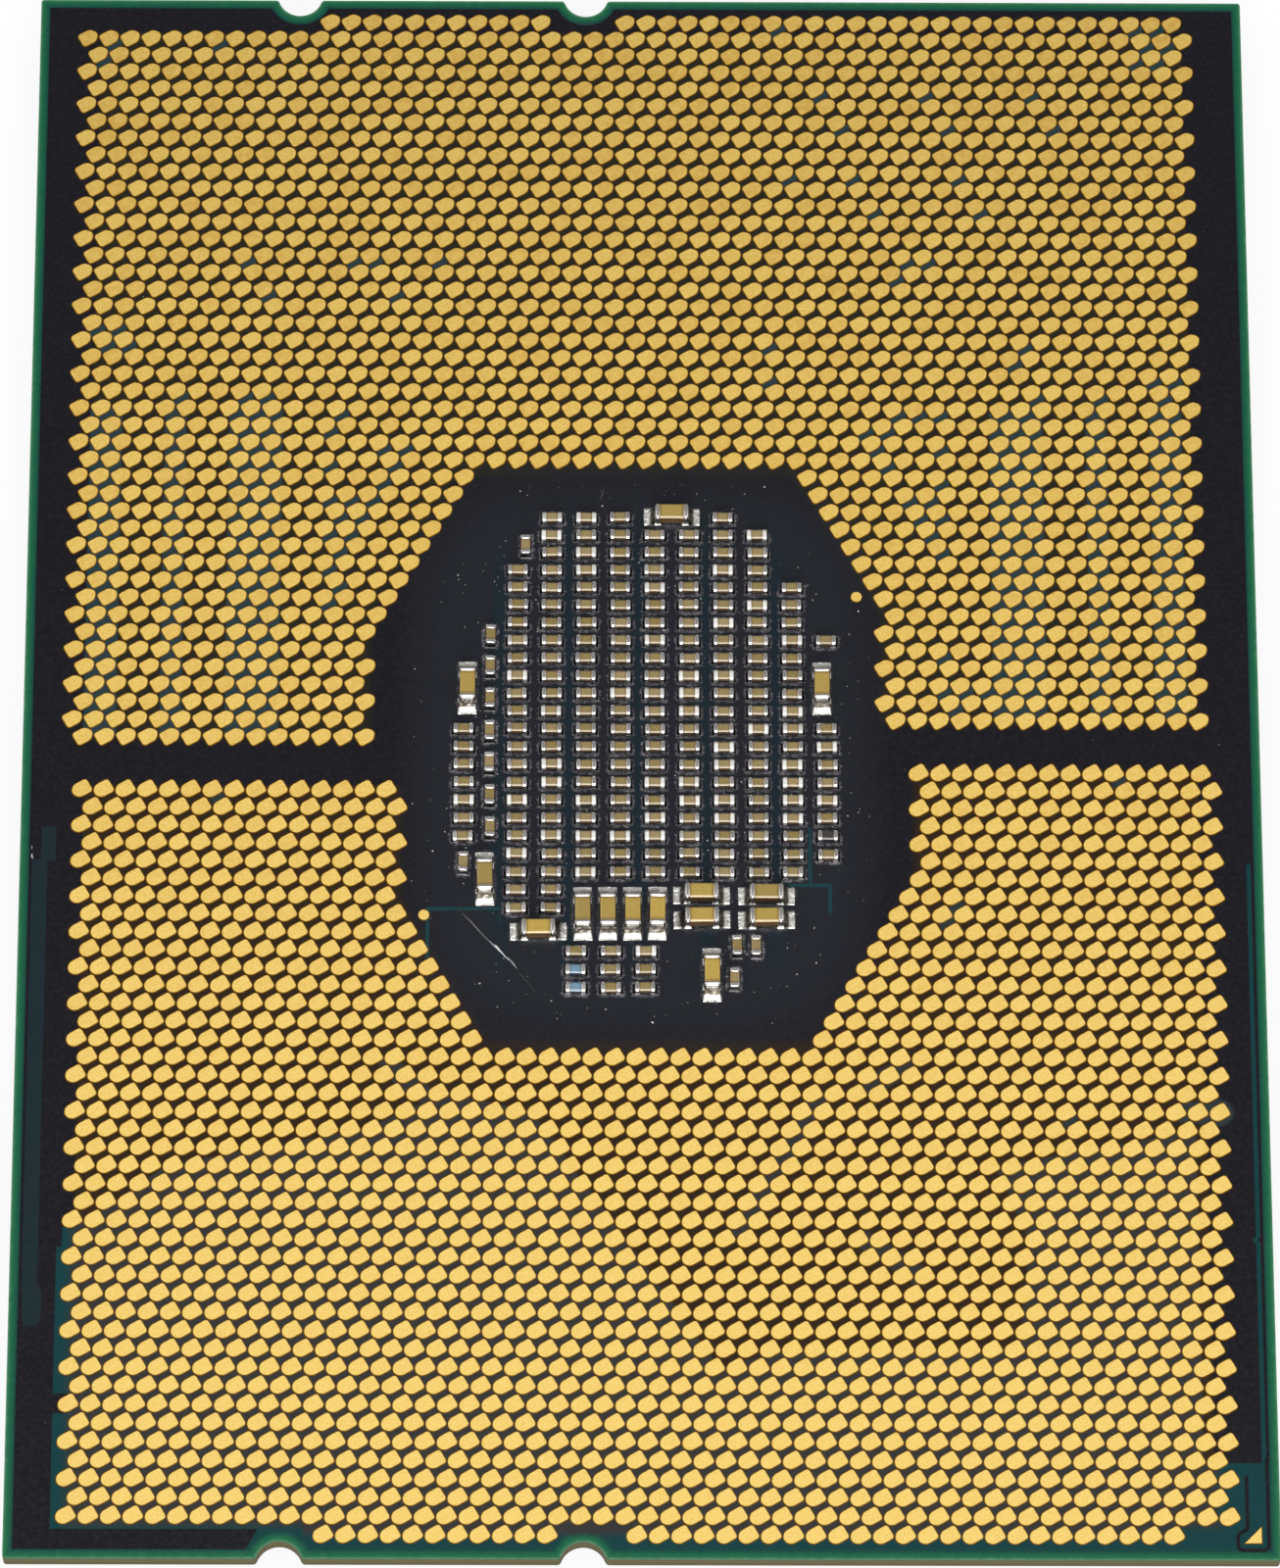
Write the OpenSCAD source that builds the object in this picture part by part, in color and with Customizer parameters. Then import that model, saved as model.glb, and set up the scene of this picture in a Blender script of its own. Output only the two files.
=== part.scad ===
// Land-grid processor package, lying on its heat spreader with the contact lands facing up.
// Millimetres. The origin is the centre of the heat spreader's outer face, +Z towards the lands,
// +Y along the long side, with the marked first-contact corner at +X, -Y.

/* [Board] */
// Width of the laminate board, along the notched edges
board_w = 56.5; // [50:0.1:60]
// Length of the laminate board, between the notched edges
board_l = 76; // [72.5:0.1:82]
// Thickness of the laminate board
board_t = 1; // [0.6:0.05:2]
// Radius of the board's corners
board_corner_r = 0.15; // [0.1:0.05:0.6]
// Radius of the half-round notches
notch_r = 1.05; // [0.8:0.05:1.2]
// Distance of a notch's centre outside the board's edge
notch_out = 0.25; // [0.1:0.05:0.5]
// Radius of the rounded mouth of a notch
notch_mouth_r = 0.2; // [0.1:0.05:0.3]
// Distance of the outer notches left of the middle
notch_outer = 16.05; // [15.7:0.05:16.4]
// Distance of the inner notches left of the middle
notch_inner = 2.6; // [2.4:0.05:2.8]

/* [Land grid] */
// Distance between neighbouring lands
land_pitch = 0.9906; // [0.96:0.0002:1]
// Diameter of a land
land_d = 0.9; // [0.6:0.01:0.94]
// Height of a land's plating over the board
land_h = 0.02; // [0.01:0.005:0.05]
// Least distance from a row's end to the board's long edge
land_side = 1.9; // [1.8:0.05:2]
// Least distance from the middle of the outermost row to the board's short edge
land_end = 1; // [0.9:0.05:1.1]
// Rows from the cavity's edge to the middle of the board
cavity_rows = 16; // [15:1:20]
// Clear width to either side of an inner notch in the row next to it
land_notch_clear = 1.5; // [1.4:0.05:1.6]
// Clear width of the last row at the marked corner
land_corner_clear = 4.2; // [3.8:0.1:4.6]

/* [Copper plane] */
// Thickness of the copper plane let into the board
plane_t = 0.03; // [0.01:0.01:0.1]
// Bare rim between the board's edge and the plane
plane_rim = 0.42; // [0.2:0.01:0.6]
// Bare rim round a notch
plane_notch_rim = 0.45; // [0.2:0.05:0.6]
// Length of the bare corner below the plane's right-hand leg
plane_corner_l = 4.45; // [4.2:0.05:5]
// Width of the clear bar near the plane's left edge
plane_bar_w = 0.7; // [0.3:0.05:0.9]
// Width of the clear bar's round lower end
plane_bar_end_w = 0.84; // [0.5:0.02:0.9]
// Length of that end
plane_bar_end_l = 1.6; // [1:0.1:2.5]
// Distance of that end's middle from the plane's edge
plane_bar_end_in = 0.61; // [0.55:0.01:0.65]
// Distance of the step at the clear bar's top from the plane's edge
plane_step_in = 0.55; // [0.4:0.01:0.7]
// Width of that step
plane_step_w = 0.65; // [0.4:0.01:0.7]
// Length of that step
plane_step_l = 1.6; // [1:0.1:2]
// Width of the clear lines in the plane
plane_line_w = 0.2; // [0.1:0.05:0.3]
// Distance of the clear bar and line from the plane's edge
plane_line_in = 0.14; // [0.12:0.01:0.3]
// Radius of the bump in the clear line at the right edge
plane_bump_r = 0.15; // [0.1:0.01:0.18]
// Radius of the copper that stands into the line behind its bump
plane_bump_back_r = 0.1; // [0.05:0.01:0.12]
// Side of the clear windows between single lands
plane_window = 0.7; // [0.5:0.02:0.8]
// Width of the clear branches between lands of the lower half
plane_branch_w = 0.9; // [0.6:0.05:1.2]
// Width of the bridge across the clear margin left of the lower half
plane_bridge_w = 0.92; // [0.6:0.02:1.1]
// Width of the thin clear lines beside the chips
plane_gap_w = 0.17; // [0.06:0.01:0.2]
// Distance of the plane's lower end from the outer notch
plane_end = 0.95; // [0.6:0.05:1.5]
// Slant of the plane's lower end
plane_end_lean = 0.8; // [0.4:0.05:1.2]
// Width of the trace round the marked corner
trace_w = 0.17; // [0.06:0.01:0.2]
// Distance of the trace from the plane's edge
trace_in = 0.03; // [0:0.01:0.05]
// Radius of the trace's round corners
trace_r = 0.2; // [0.1:0.01:0.24]
// Angle of the trace's two turns beside the corner mark
trace_bend = 60; // [45:5:60]
// Distance of the trace below the corner mark
trace_below = 0.3; // [0.2:0.01:0.35]
// Distance of the trace's turn left of the corner mark
trace_left = 1.06; // [0.95:0.01:1.2]
// Distance of the trace's end left of the corner mark
trace_end = 0.63; // [0.5:0.01:0.7]
// Height of the trace's turn over the corner mark
trace_turn = 0.3; // [0.2:0.01:0.5]
// Height of the trace's end over the corner mark
trace_top = 3.04; // [2.5:0.02:3.4]

/* [Gold marks] */
// Side of the corner mark
corner_mark_side = 0.78; // [0.5:0.02:0.84]
// Distance of the corner mark from the board's long edge
corner_mark_in = 0.83; // [0.75:0.01:0.9]
// Distance of the corner mark from the board's short edge
corner_mark_up = 0.76; // [0.74:0.01:0.85]
// Diameter of the fiducial dots
fiducial_d = 0.55; // [0.3:0.05:0.8]
// Place of the fiducial dots across the board, from the middle
fiducial_x = 9.88; // [9.6:0.02:10]
// Place of the fiducial dots along the board, from the middle
fiducial_y = 7.79; // [7.6:0.02:8]

/* [Small chips] */
// Length of a small chip
small_len = 0.95; // [0.9:0.01:1.05]
// Width of a small chip
small_wid = 0.5; // [0.4:0.01:0.55]
// Height of a small chip
small_hgt = 0.38; // [0.3:0.01:0.5]
// Length of a small chip's end caps
small_end = 0.22; // [0.15:0.01:0.3]
// Distance between columns of small chips
small_pitch_x = 1.5735; // [1.5:0.0005:1.62]
// Distance between rows of small chips
small_pitch_y = 0.8695; // [0.83:0.0005:0.9]
// Distance of the first full column left of the middle
first_column = 5.69; // [5.6:0.01:5.8]
// Middle of the first row
first_row_y = 11.6; // [11.5:0.01:11.8]
// Distance from the first full column to the set-off column beside it
set_off = 2.42; // [2.4:0.01:2.6]
// Distance from the first full column to the upright chips beside it
upright_off = 1.24; // [1.2:0.01:1.26]
// Middle of the first upright chip
upright_first_y = 5.81; // [5.7:0.01:5.9]

/* [Large chips] */
// Length of a large chip
large_len = 1.58; // [1.45:0.01:1.65]
// Width of a large chip
large_wid = 0.78; // [0.7:0.01:0.82]
// Height of a large chip
large_hgt = 0.8; // [0.6:0.01:1]
// Length of a large chip's end caps
large_end = 0.3; // [0.2:0.01:0.4]
// Thickness of the metal over a large chip's end faces
large_plating = 0.04; // [0.02:0.01:0.06]
// Length over a large chip's soldered pads
large_pad_len = 2.57; // [2.3:0.01:2.6]
// Width of a large chip's soldered pads
large_pad_wid = 0.84; // [0.82:0.01:0.88]
// Distance between the four large chips that stand side by side
bank_pitch = 1.13; // [1.05:0.01:1.15]
// Distances between the four large chips that lie two by two, across and along the board
quad_pitch_x = 2.945; // [2.85:0.005:3]
quad_pitch_y = 1.15; // [1.05:0.01:1.25]

/* [Chip spacing] */
// Gap between the large chips that lie two by two and the upright chips below them
narrow_gap = 0.3; // [0.25:0.01:0.35]
// Gap between the large chips side by side and the block of small chips below them
block_gap = 0.36; // [0.25:0.01:0.4]
// Gap between a column's end and the chips beyond it
chip_gap = 0.39; // [0.35:0.01:0.5]
// Gap beside the ends of single large chips
wide_gap = 0.55; // [0.5:0.01:0.6]

/* [Solder] */
// Thickness of the solder under a chip
solder_t = 0.05; // [0.03:0.01:0.1]
// How far a solder joint reaches past a small chip's end
small_toe = 0.12; // [0.06:0.01:0.14]
// How far solder climbs a small chip's end
small_climb = 0.16; // [0.1:0.01:0.24]
// How far solder climbs a large chip's end
large_climb = 0.3; // [0.2:0.01:0.5]
// Thickness of a solder joint at its toe
solder_toe_t = 0.03; // [0.02:0.01:0.05]
// How far the end caps stand proud of the ceramic
end_proud = 0.02; // [0.01:0.005:0.03]

/* [Heat spreader] */
// Width of the lid's flange
lid_w = 51; // [48:0.5:53]
// Length of the lid's flange
lid_l = 70; // [66:0.5:72]
// Whole height of the lid
lid_h = 3.2; // [2.8:0.1:4]
// Thickness of the flange
flange_t = 1.9; // [1.5:0.1:2.2]
// Corner radius of the flange
lid_corner_r = 2.5; // [2:0.1:4]
// Width of the raised plateau
plateau_w = 46; // [40:0.5:47]
// Length of the raised plateau
plateau_l = 56; // [48:0.5:60]
// Corner radius of the plateau
plateau_corner_r = 2; // [1.5:0.1:3]
// Radius of the stamped edges
lid_edge_r = 0.4; // [0.2:0.05:0.6]
// Width of the foot round the lid's pocket
foot_w = 4; // [3.5:0.1:5]

/* [Inside the lid] */
// Width of the silicon die
die_w = 21.6; // [15:0.1:26]
// Length of the silicon die
die_l = 32.2; // [20:0.1:36]
// Thickness of the silicon die
die_t = 0.78; // [0.5:0.01:0.85]
// Gap that the underfill resin fills
underfill_t = 0.08; // [0.05:0.01:0.12]
// Margin of resin round the die
underfill_margin = 0.6; // [0.3:0.1:1.5]
// Thickness of the thermal interface
interface_t = 0.25; // [0.1:0.01:0.4]
// Thickness of the lid sealant
sealant_t = 0.15; // [0.1:0.01:0.3]
// Width of the sealant bead
sealant_w = 2.6; // [2:0.1:3]
// Distance from the lid's edge to the bead
sealant_inset = 0.6; // [0.3:0.1:0.8]
// Vent gap in the sealant bead
vent_w = 4; // [2:0.5:8]

/* [Hidden] */
$fn = 48;
past = 0.1;
turn_steps = 6;
half_pitch = land_pitch / 2;
row_pitch = land_pitch * sin(60);
// Lands in a full row, and rows in each half of the grid
land_cols = floor((board_w - 2 * land_side) / land_pitch);
land_rows = floor((board_l / 2 - land_end) / row_pitch);

// Heights of the stack, from the heat spreader's outer face
z_foot = lid_h;
z_board = z_foot + sealant_t;
z_top = z_board + board_t;
pocket_depth = underfill_t + die_t + interface_t - sealant_t;
z_pocket = z_foot - pocket_depth;
z_die = z_pocket + interface_t;

notches = [for (x = [-notch_outer, -notch_inner], side = [1, -1]) [x, side]];
notch_mouth_x = sqrt(pow(notch_r + notch_mouth_r, 2) - pow(notch_out + notch_mouth_r, 2));

// Where the cavity's left and right sides start and end their slant in the upper half, in half pitches
cavity_left = [16, 25];
cavity_right = [15, 22];
cavity_first_row = land_rows - cavity_rows;

// The copper plane's outline under the lands, in half pitches across and rows along the board:
// its lower boundary from the left leg to the right leg, then the clear strips as middle and width
plane_lower_edge = [
    [0.14 - land_cols, 0.28 - land_rows], [0.14 - land_cols, -27.5], [0.65 - land_cols, -27.5],
    [0.65 - land_cols, -26.45], [3 - land_cols, -26], [10 - land_cols, -23],
    [-25, -21], [-18, -19], [-10, -20], [7, -34], [13, -33], [land_cols - 19, -33],
    [land_cols - 18, -27], [land_cols - 21, -23], [land_cols - 2.7, -21],
];
plane_strips = [
    [3 - land_cols, 3], [9.5 - land_cols, 2], [17 - land_cols, 5],
    [land_cols - 18, 5], [land_cols - 10.5, 2], [land_cols - 4, 3],
];
// Clear windows between single lands of the upper half, row by row from the outside
plane_windows = [
    [13, 42.5], [land_cols - 6, 42.5], [land_cols - 4, 42.5],
    [3 - land_cols, 41.5], [13 - land_cols, 41.5], [land_cols - 5, 41.5], [land_cols - 3, 41.5],
    [2 - land_cols, 40.5], [land_cols - 6, 40.5], [land_cols - 4, 40.5],
    [17, 38.5], [27, 38.5], [37, 38.5], [19, 36.5], [29, 36.5], [39, 36.5],
    [14, 33.5], [20, 33.5], [30, 33.5], [22, 31.5], [32, 31.5],
    [-37, 28.5], [-27, 28.5], [-25, 28.5], [-19, 28.5], [25, 28.5], [27, 28.5], [24, 27.5],
    [-35, 26.5], [-23, 26.5], [2 - land_cols, 24.5], [4 - land_cols, 24.5],
    [3 - land_cols, 23.5], [5 - land_cols, 23.5], [12, 23.5], [36, 23.5], [35, 22.5],
    [12, 21.5], [land_cols - 5, 21.5], [land_cols - 3, 21.5],
    [-43, 20.5], [-37, 20.5], [-35, 20.5], [37, 20.5], [43, 20.5], [land_cols - 4, 20.5],
    [-28, 19.5], [24, 19.5], [26, 19.5], [28, 19.5], [-29, 18.5], [21, 18.5], [23, 18.5],
    [-24, 17.5], [-22, 17.5], [22, 17.5], [28, 17.5], [-29, 16.5], [-23, 16.5], [23, 16.5],
    [-24, 15.5], [28, 15.5], [-29, 14.5], [-27, 14.5], [-25, 14.5], [25, 14.5], [27, 14.5],
    [-28, 13.5], [-26, 13.5], [26, 13.5], [28, 13.5], [-29, 12.5], [-27, 12.5], [27, 12.5],
    [-28, 11.5], [28, 11.5], [-29, 10.5], [-28, 9.5], [-29, 8.5],
    [28, 5.5], [28, 3.5], [30, 3.5], [32, 3.5], [29, 2.5],
];
// Clear branches between lands of the lower half, point by point
plane_branches = [
    [[-23, -17.5], [-20, -19]], [[21, -18.5], [24, -17.5]], [[16, -19.5], [9, -26.5]], [[20, -27], [25, -29]],
];
// Rows of the bridge across the clear margin, and of the bump in the clear line
plane_bridge_row = -36;
plane_bump_row = -27;
// Rows where the strips start left and right of the middle, and where they all end
plane_strip_first = [1, 2];
plane_strip_last = 20;
// Rows where the clear bar starts and ends
plane_bar_rows = [-30, -6];
// Thin clear lines beside the chips, point by point from the middle of the board
plane_gaps = [
    [[-9.71, -9.9], [-9.71, -7.5], [-6.45, -7.5], [-6.45, -8.2]],
    [[7.66, -3.6], [7.66, -6.32]],
    [[6.7, -6.32], [8.55, -6.32], [8.55, -7.7]],
];
plane_x = board_w / 2 - plane_rim;
plane_leg_y = plane_corner_l - board_l / 2;
corner_place = [board_w / 2 - corner_mark_in, corner_mark_up - board_l / 2];

// First and last rows of the columns of small chips, from the set-off column on, and in the last
// column the rows of a lone chip and of a dark one
column_rows = [
    [12, 18], [3, 22], [0, 22], [0, 20], [0, 20], [1, 20], [1, 20], [0, 20], [1, 20], [4, 20], [12, 19],
];
lone_rows = [7];
dark_rows = [18];
columns = len(column_rows);
upright_count = 7;
block_size = 3;
blue_cells = [[0, 1], [0, 2]];
bank_count = 4;

// Half lengths over the solder, and the edges that the lower chips are set from
small_reach = small_len / 2 + small_toe;
large_reach = large_pad_len / 2;
middle_low_y = last_edge(5) - chip_gap;
bank_y = middle_low_y - large_reach;
quad_y = middle_low_y - large_pad_wid / 2;
block_y = bank_y - large_reach - block_gap - small_wid / 2;
lower_upright_y = quad_y - quad_pitch_y - large_pad_wid / 2 - narrow_gap - small_reach;
upright_last_y = upright_first_y - (upright_count - 1) * small_pitch_x;

// Distances of single chips left of the middle, then right of it
bank_left = 2.67;
block_left = 2.97;
side_large_left = 7.94;
side_large_right = 8.25;
quad_right = 2.73;
lowest_large_right = 3.2;
lowest_upright_right = 4.18;
lower_upright_right = 4.32;
lower_upright_pitch = 0.86;
// How far single chips stand off the middle of the columns beside them, across and then along the board
top_upright_off = 0.37;
low_across_off = 0.24;
low_large_off = 0.21;
top_across_up = 0.13;
lowest_large_down = 0.08;

// Columns are counted from 0, the set-off column, then the regular ones from 1
function column_x(c) = c == 0 ? -first_column - set_off : (c - 1) * small_pitch_x - first_column;
function row_y(r) = first_row_y - r * small_pitch_y;
function first_edge(c) = row_y(column_rows[c][0]) + small_wid / 2;
function last_edge(c) = row_y(column_rows[c][1]) - small_wid / 2;
function has(cells, cell) = len([for (other = cells) if (other == cell) 1]) > 0;
function grid(p) = [p[0] * half_pitch, p[1] * row_pitch];

// Rows of a column that hold a chip
function column_cells(c) =
    concat(c < columns - 1 ? [] : lone_rows, [for (r = [column_rows[c][0] : column_rows[c][1]]) r]);

function is_dark(c, r) = c == columns - 1 && has(dark_rows, r);
function column_places(c) = [for (r = column_cells(c)) [column_x(c), row_y(r)]];
function capacitor_places(c) = [for (r = column_cells(c)) if (!is_dark(c, r)) [column_x(c), row_y(r)]];
function dark_places() = [for (r = dark_rows) [column_x(columns - 1), row_y(r)]];

function upright_places() = concat(
    [for (i = [0 : upright_count - 1]) [-first_column - upright_off, upright_first_y - i * small_pitch_x]],
    [[column_x(1) + top_upright_off, first_edge(1) + chip_gap + small_reach]],
    [[column_x(0), last_edge(0) - chip_gap - small_reach]],
    [for (i = [0, 1]) [lower_upright_right + i * lower_upright_pitch, lower_upright_y]],
    [[lowest_upright_right, lower_upright_y - 2 * small_reach - chip_gap]]);

function block_place(cell) = [cell[0] * small_pitch_x - block_left, block_y - cell[1] * small_pitch_y];
function block_cells() = [for (i = [0 : block_size - 1], j = [0 : block_size - 1]) [i, j]];
function block_places() = [for (cell = block_cells()) if (!has(blue_cells, cell)) block_place(cell)];
function blue_places() = [for (cell = blue_cells) block_place(cell)];

function large_upright_places() = concat(
    [for (i = [0 : bank_count - 1]) [i * bank_pitch - bank_left, bank_y]],
    [for (x = [-side_large_left, side_large_right]) [x, first_edge(0) + wide_gap + large_reach]],
    [[-first_column - upright_off - low_large_off, upright_last_y - small_reach - wide_gap - large_reach]],
    [[lowest_large_right, lower_upright_y - lowest_large_down - large_reach]]);

function large_across_places() = concat(
    [for (i = [0, 1], j = [0, 1]) [quad_right + i * quad_pitch_x, quad_y - j * quad_pitch_y]],
    [[(column_x(5) + column_x(6)) / 2, first_row_y + top_across_up]],
    [[(column_x(1) + column_x(2)) / 2 + low_across_off, last_edge(1) - chip_gap - large_pad_wid / 2]]);

// Whether a land of the upper half lies in the cavity: row from the outer edge, place in half pitches
function in_cavity(row, halves) =
    let (k = row - cavity_first_row)
    k >= 0
    && halves > -min(cavity_left[0] + k, cavity_left[1])
    && halves < min(cavity_right[0] + k, cavity_right[1]);

// Whether the outermost row has a land at x, beside the notches and the marked corner
function outer_row_has(x, side) =
    x > notch_r - notch_outer
    && abs(x + notch_inner) > land_notch_clear
    && (side > 0 || x < board_w / 2 - land_corner_clear);

// Centres of one half of the grid: side 1 is the upper half, side -1 the same half turned by 180 degrees
function land_places(side) = [
    for (row = [0 : land_rows - 1])
    let (odd = row % 2, first = 1 - odd - (land_cols - 0.5))
    for (i = [0 : land_cols - 2 + odd])
    let (halves = first + 2 * i, x = halves * half_pitch * side)
    if (!in_cavity(row, halves)
        && (row > 0 || outer_row_has(x, side))
        && (row < land_rows - 1 || halves < 0))
    [x, (land_rows - row) * row_pitch * side]
];

module rounded_rect(w, l, r) {
    square([w - 2 * r, l], center = true);
    square([w, l - 2 * r], center = true);
    for (x = [1, -1], y = [1, -1])
        translate([x * (w / 2 - r), y * (l / 2 - r)]) circle(r);
}

// One notch, with the board's edge along y = 0 and the board below it
module notch_cut() {
    touch_x = notch_r * notch_mouth_x / (notch_r + notch_mouth_r);
    touch_y = notch_out - notch_r * (notch_out + notch_mouth_r) / (notch_r + notch_mouth_r);
    translate([0, notch_out]) circle(notch_r);
    difference() {
        polygon([[-notch_mouth_x, past], [-notch_mouth_x, 0], [-touch_x, touch_y],
            [touch_x, touch_y], [notch_mouth_x, 0], [notch_mouth_x, past]]);
        for (side = [1, -1])
            translate([side * notch_mouth_x, -notch_mouth_r]) circle(notch_mouth_r);
    }
}

module board_outline() {
    difference() {
        rounded_rect(board_w, board_l, board_corner_r);
        for (n = notches)
            translate([n[0], n[1] * board_l / 2]) mirror([0, n[1] < 0 ? 1 : 0]) notch_cut();
    }
}

// A line of one width from point to point, with round ends
module line_along(points, w) {
    for (i = [0 : len(points) - 2]) {
        run = points[i + 1] - points[i];
        translate(points[i]) rotate(atan2(run[1], run[0])) translate([0, -w / 2]) square([norm(run), w]);
    }
    for (p = points)
        translate(p) circle(w / 2);
}

// Points round a corner of a line, from one angle to the other
function turn_points(centre, r, from, to) = [
    for (i = [0 : turn_steps])
    let (angle = from + (to - from) * i / turn_steps)
    centre + r * [cos(angle), sin(angle)]
];

// The trace that comes down the right edge, passes under the corner mark and ends beside it
module corner_trace() {
    right = plane_x - trace_in - trace_w / 2;
    low = corner_place[1] - trace_below;
    turn_x = corner_place[0] - trace_left;
    end_x = corner_place[0] - trace_end;
    turn_y = corner_place[1] + trace_turn;
    slant_w = end_x - turn_x - 2 * trace_r * (1 - cos(trace_bend));
    bend_y = turn_y + 2 * trace_r * sin(trace_bend) + slant_w / tan(trace_bend);
    end_y = corner_place[1] + trace_top;
    line_along(concat([[right, plane_leg_y + trace_w]],
        turn_points([right - trace_r, low + trace_r], trace_r, 0, -90),
        turn_points([turn_x + trace_r, low + trace_r], trace_r, -90, -180),
        turn_points([turn_x + trace_r, turn_y], trace_r, 180, 180 - trace_bend),
        turn_points([end_x - trace_r, bend_y], trace_r, -trace_bend, 0),
        [[end_x, end_y]]), trace_w);
}

// The part of the board's lower half that has no plane
module plane_clear_area() {
    edge = [for (p = plane_lower_edge) grid(p)];
    leg_x = edge[len(edge) - 1][0];
    low = -board_l / 2 - past;
    right = board_w / 2 + past;
    end_x = -notch_outer - plane_end;
    bridge_end = grid([1.5 - land_cols, plane_bridge_row]);
    difference() {
        polygon(concat(edge, [[leg_x, plane_leg_y], [right, plane_leg_y], [right, low]],
            [[end_x - plane_end_lean, low], [end_x, edge[0][1]]]));
        translate([-board_w / 2, bridge_end[1] - plane_bridge_w / 2])
            square([board_w / 2 + bridge_end[0], plane_bridge_w]);
    }
}

// The clear bar at the plane's left edge, with a step at its top and a round end below
module plane_bar() {
    low = plane_bar_rows[0] * row_pitch;
    high = plane_bar_rows[1] * row_pitch;
    end_x = plane_bar_end_in - plane_x;
    translate([plane_line_in - plane_x, low]) square([plane_bar_w, high - low]);
    translate([plane_step_in - plane_x, high - past]) square([plane_step_w, plane_step_l + past]);
    line_along([[end_x, low], [end_x, low - plane_bar_end_l + plane_bar_end_w / 2]], plane_bar_end_w);
}

// The clear line at the plane's right edge, with its bump
module plane_line() {
    left = plane_x - plane_line_in - plane_line_w;
    bump_y = plane_bump_row * row_pitch;
    difference() {
        union() {
            translate([left, plane_leg_y - past])
                square([plane_line_w, plane_bar_rows[1] * row_pitch - plane_leg_y]);
            translate([left, bump_y]) circle(plane_bump_r);
        }
        translate([left + plane_line_w, bump_y]) circle(plane_bump_back_r);
    }
}

module plane_outline() {
    difference() {
        square([2 * plane_x, board_l - 2 * plane_rim], center = true);
        for (n = notches)
            translate([n[0], n[1] * (board_l / 2 + notch_out)]) circle(notch_r + plane_notch_rim);
        plane_clear_area();
        for (s = plane_strips) {
            low = plane_strip_first[s[0] < 0 ? 0 : 1] * row_pitch;
            translate([(s[0] - s[1] / 2) * half_pitch, low])
                square([s[1] * half_pitch, plane_strip_last * row_pitch - low]);
        }
        for (p = plane_windows)
            translate(grid(p)) square(plane_window, center = true);
        for (points = plane_branches)
            line_along([for (p = points) grid(p)], plane_branch_w);
        plane_bar();
        plane_line();
        for (points = plane_gaps)
            line_along(points, plane_gap_w);
    }
    corner_trace();
}

module board() {
    color("#1f6b4a") difference() {
        translate([0, 0, z_board]) linear_extrude(board_t) board_outline();
        translate([0, 0, z_top - plane_t]) linear_extrude(plane_t + past) plane_outline();
    }
}

module copper_plane() {
    color("#221f26") translate([0, 0, z_top - plane_t]) linear_extrude(plane_t) plane_outline();
}

module lands(side) {
    color("#e8c068") translate([0, 0, z_top]) linear_extrude(land_h)
        for (p = land_places(side)) translate(p) circle(land_d / 2);
}

module corner_mark() {
    s = corner_mark_side;
    color("#e8c068") translate([corner_place[0], corner_place[1], z_top])
        linear_extrude(land_h) polygon([[0, 0], [0, s], [-s, 0]]);
}

module fiducial_dots() {
    color("#e8c068") for (side = [1, -1])
        translate([side * fiducial_x, side * fiducial_y, z_top]) cylinder(h = land_h, d = fiducial_d);
}

// Puts its children at each place on the board, turned upright where asked
module at_places(places, upright = false) {
    for (p = places)
        translate([p[0], p[1], z_top]) rotate(upright ? 90 : 0) children();
}

// Ceramic of a small chip, between its end caps
module small_ceramic() {
    translate([-small_len / 2 + small_end, -small_wid / 2 + end_proud, solder_t + end_proud])
        cube([small_len - 2 * small_end, small_wid - 2 * end_proud, small_hgt - 2 * end_proud]);
}

module small_end_caps() {
    for (side = [0, 1])
        mirror([side, 0]) translate([small_len / 2 - small_end, -small_wid / 2, solder_t])
            cube([small_end, small_wid, small_hgt]);
}

// Solder under one end of a chip, rising from its toe against the end cap's face
module solder_joint(half_len, end_len, toe_len, climb, wid) {
    rotate([90, 0, 0]) translate([0, 0, -wid / 2]) linear_extrude(wid) polygon([
        [half_len - end_len, 0], [half_len + toe_len, 0], [half_len + toe_len, solder_toe_t],
        [half_len, solder_t + climb], [half_len, solder_t], [half_len - end_len, solder_t]]);
}

module small_joints() {
    for (side = [0, 1])
        mirror([side, 0]) solder_joint(small_len / 2, small_end, small_toe, small_climb, small_wid);
}

// Ceramic of a large chip, which runs on into its end caps
module large_ceramic() {
    ceramic_l = large_len - 2 * large_plating;
    ceramic_w = large_wid - 2 * end_proud;
    translate([-ceramic_l / 2, -ceramic_w / 2, solder_t + end_proud])
        cube([ceramic_l, ceramic_w, large_hgt - 2 * end_proud]);
}

module large_end_caps() {
    difference() {
        for (side = [0, 1])
            mirror([side, 0]) translate([large_len / 2 - large_end, -large_wid / 2, solder_t])
                cube([large_end, large_wid, large_hgt]);
        large_ceramic();
    }
}

module large_joints() {
    toe = large_reach - large_len / 2;
    for (side = [0, 1])
        mirror([side, 0]) solder_joint(large_len / 2, large_end, toe, large_climb, large_pad_wid);
}

module column_capacitors(c) {
    color("#a58a4c") at_places(capacitor_places(c)) small_ceramic();
}

module column_end_caps(c) {
    color("#d8d6d0") at_places(column_places(c)) small_end_caps();
}

module column_solder(c) {
    color("#8e8e90") at_places(column_places(c)) small_joints();
}

module upright_capacitors() {
    color("#a58a4c") at_places(upright_places(), true) small_ceramic();
}

module upright_end_caps() {
    color("#d8d6d0") at_places(upright_places(), true) small_end_caps();
}

module upright_solder() {
    color("#8e8e90") at_places(upright_places(), true) small_joints();
}

module block_capacitors() {
    color("#a58a4c") at_places(block_places()) small_ceramic();
}

module blue_chips() {
    color("#7fa6c8") at_places(blue_places()) small_ceramic();
}

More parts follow.
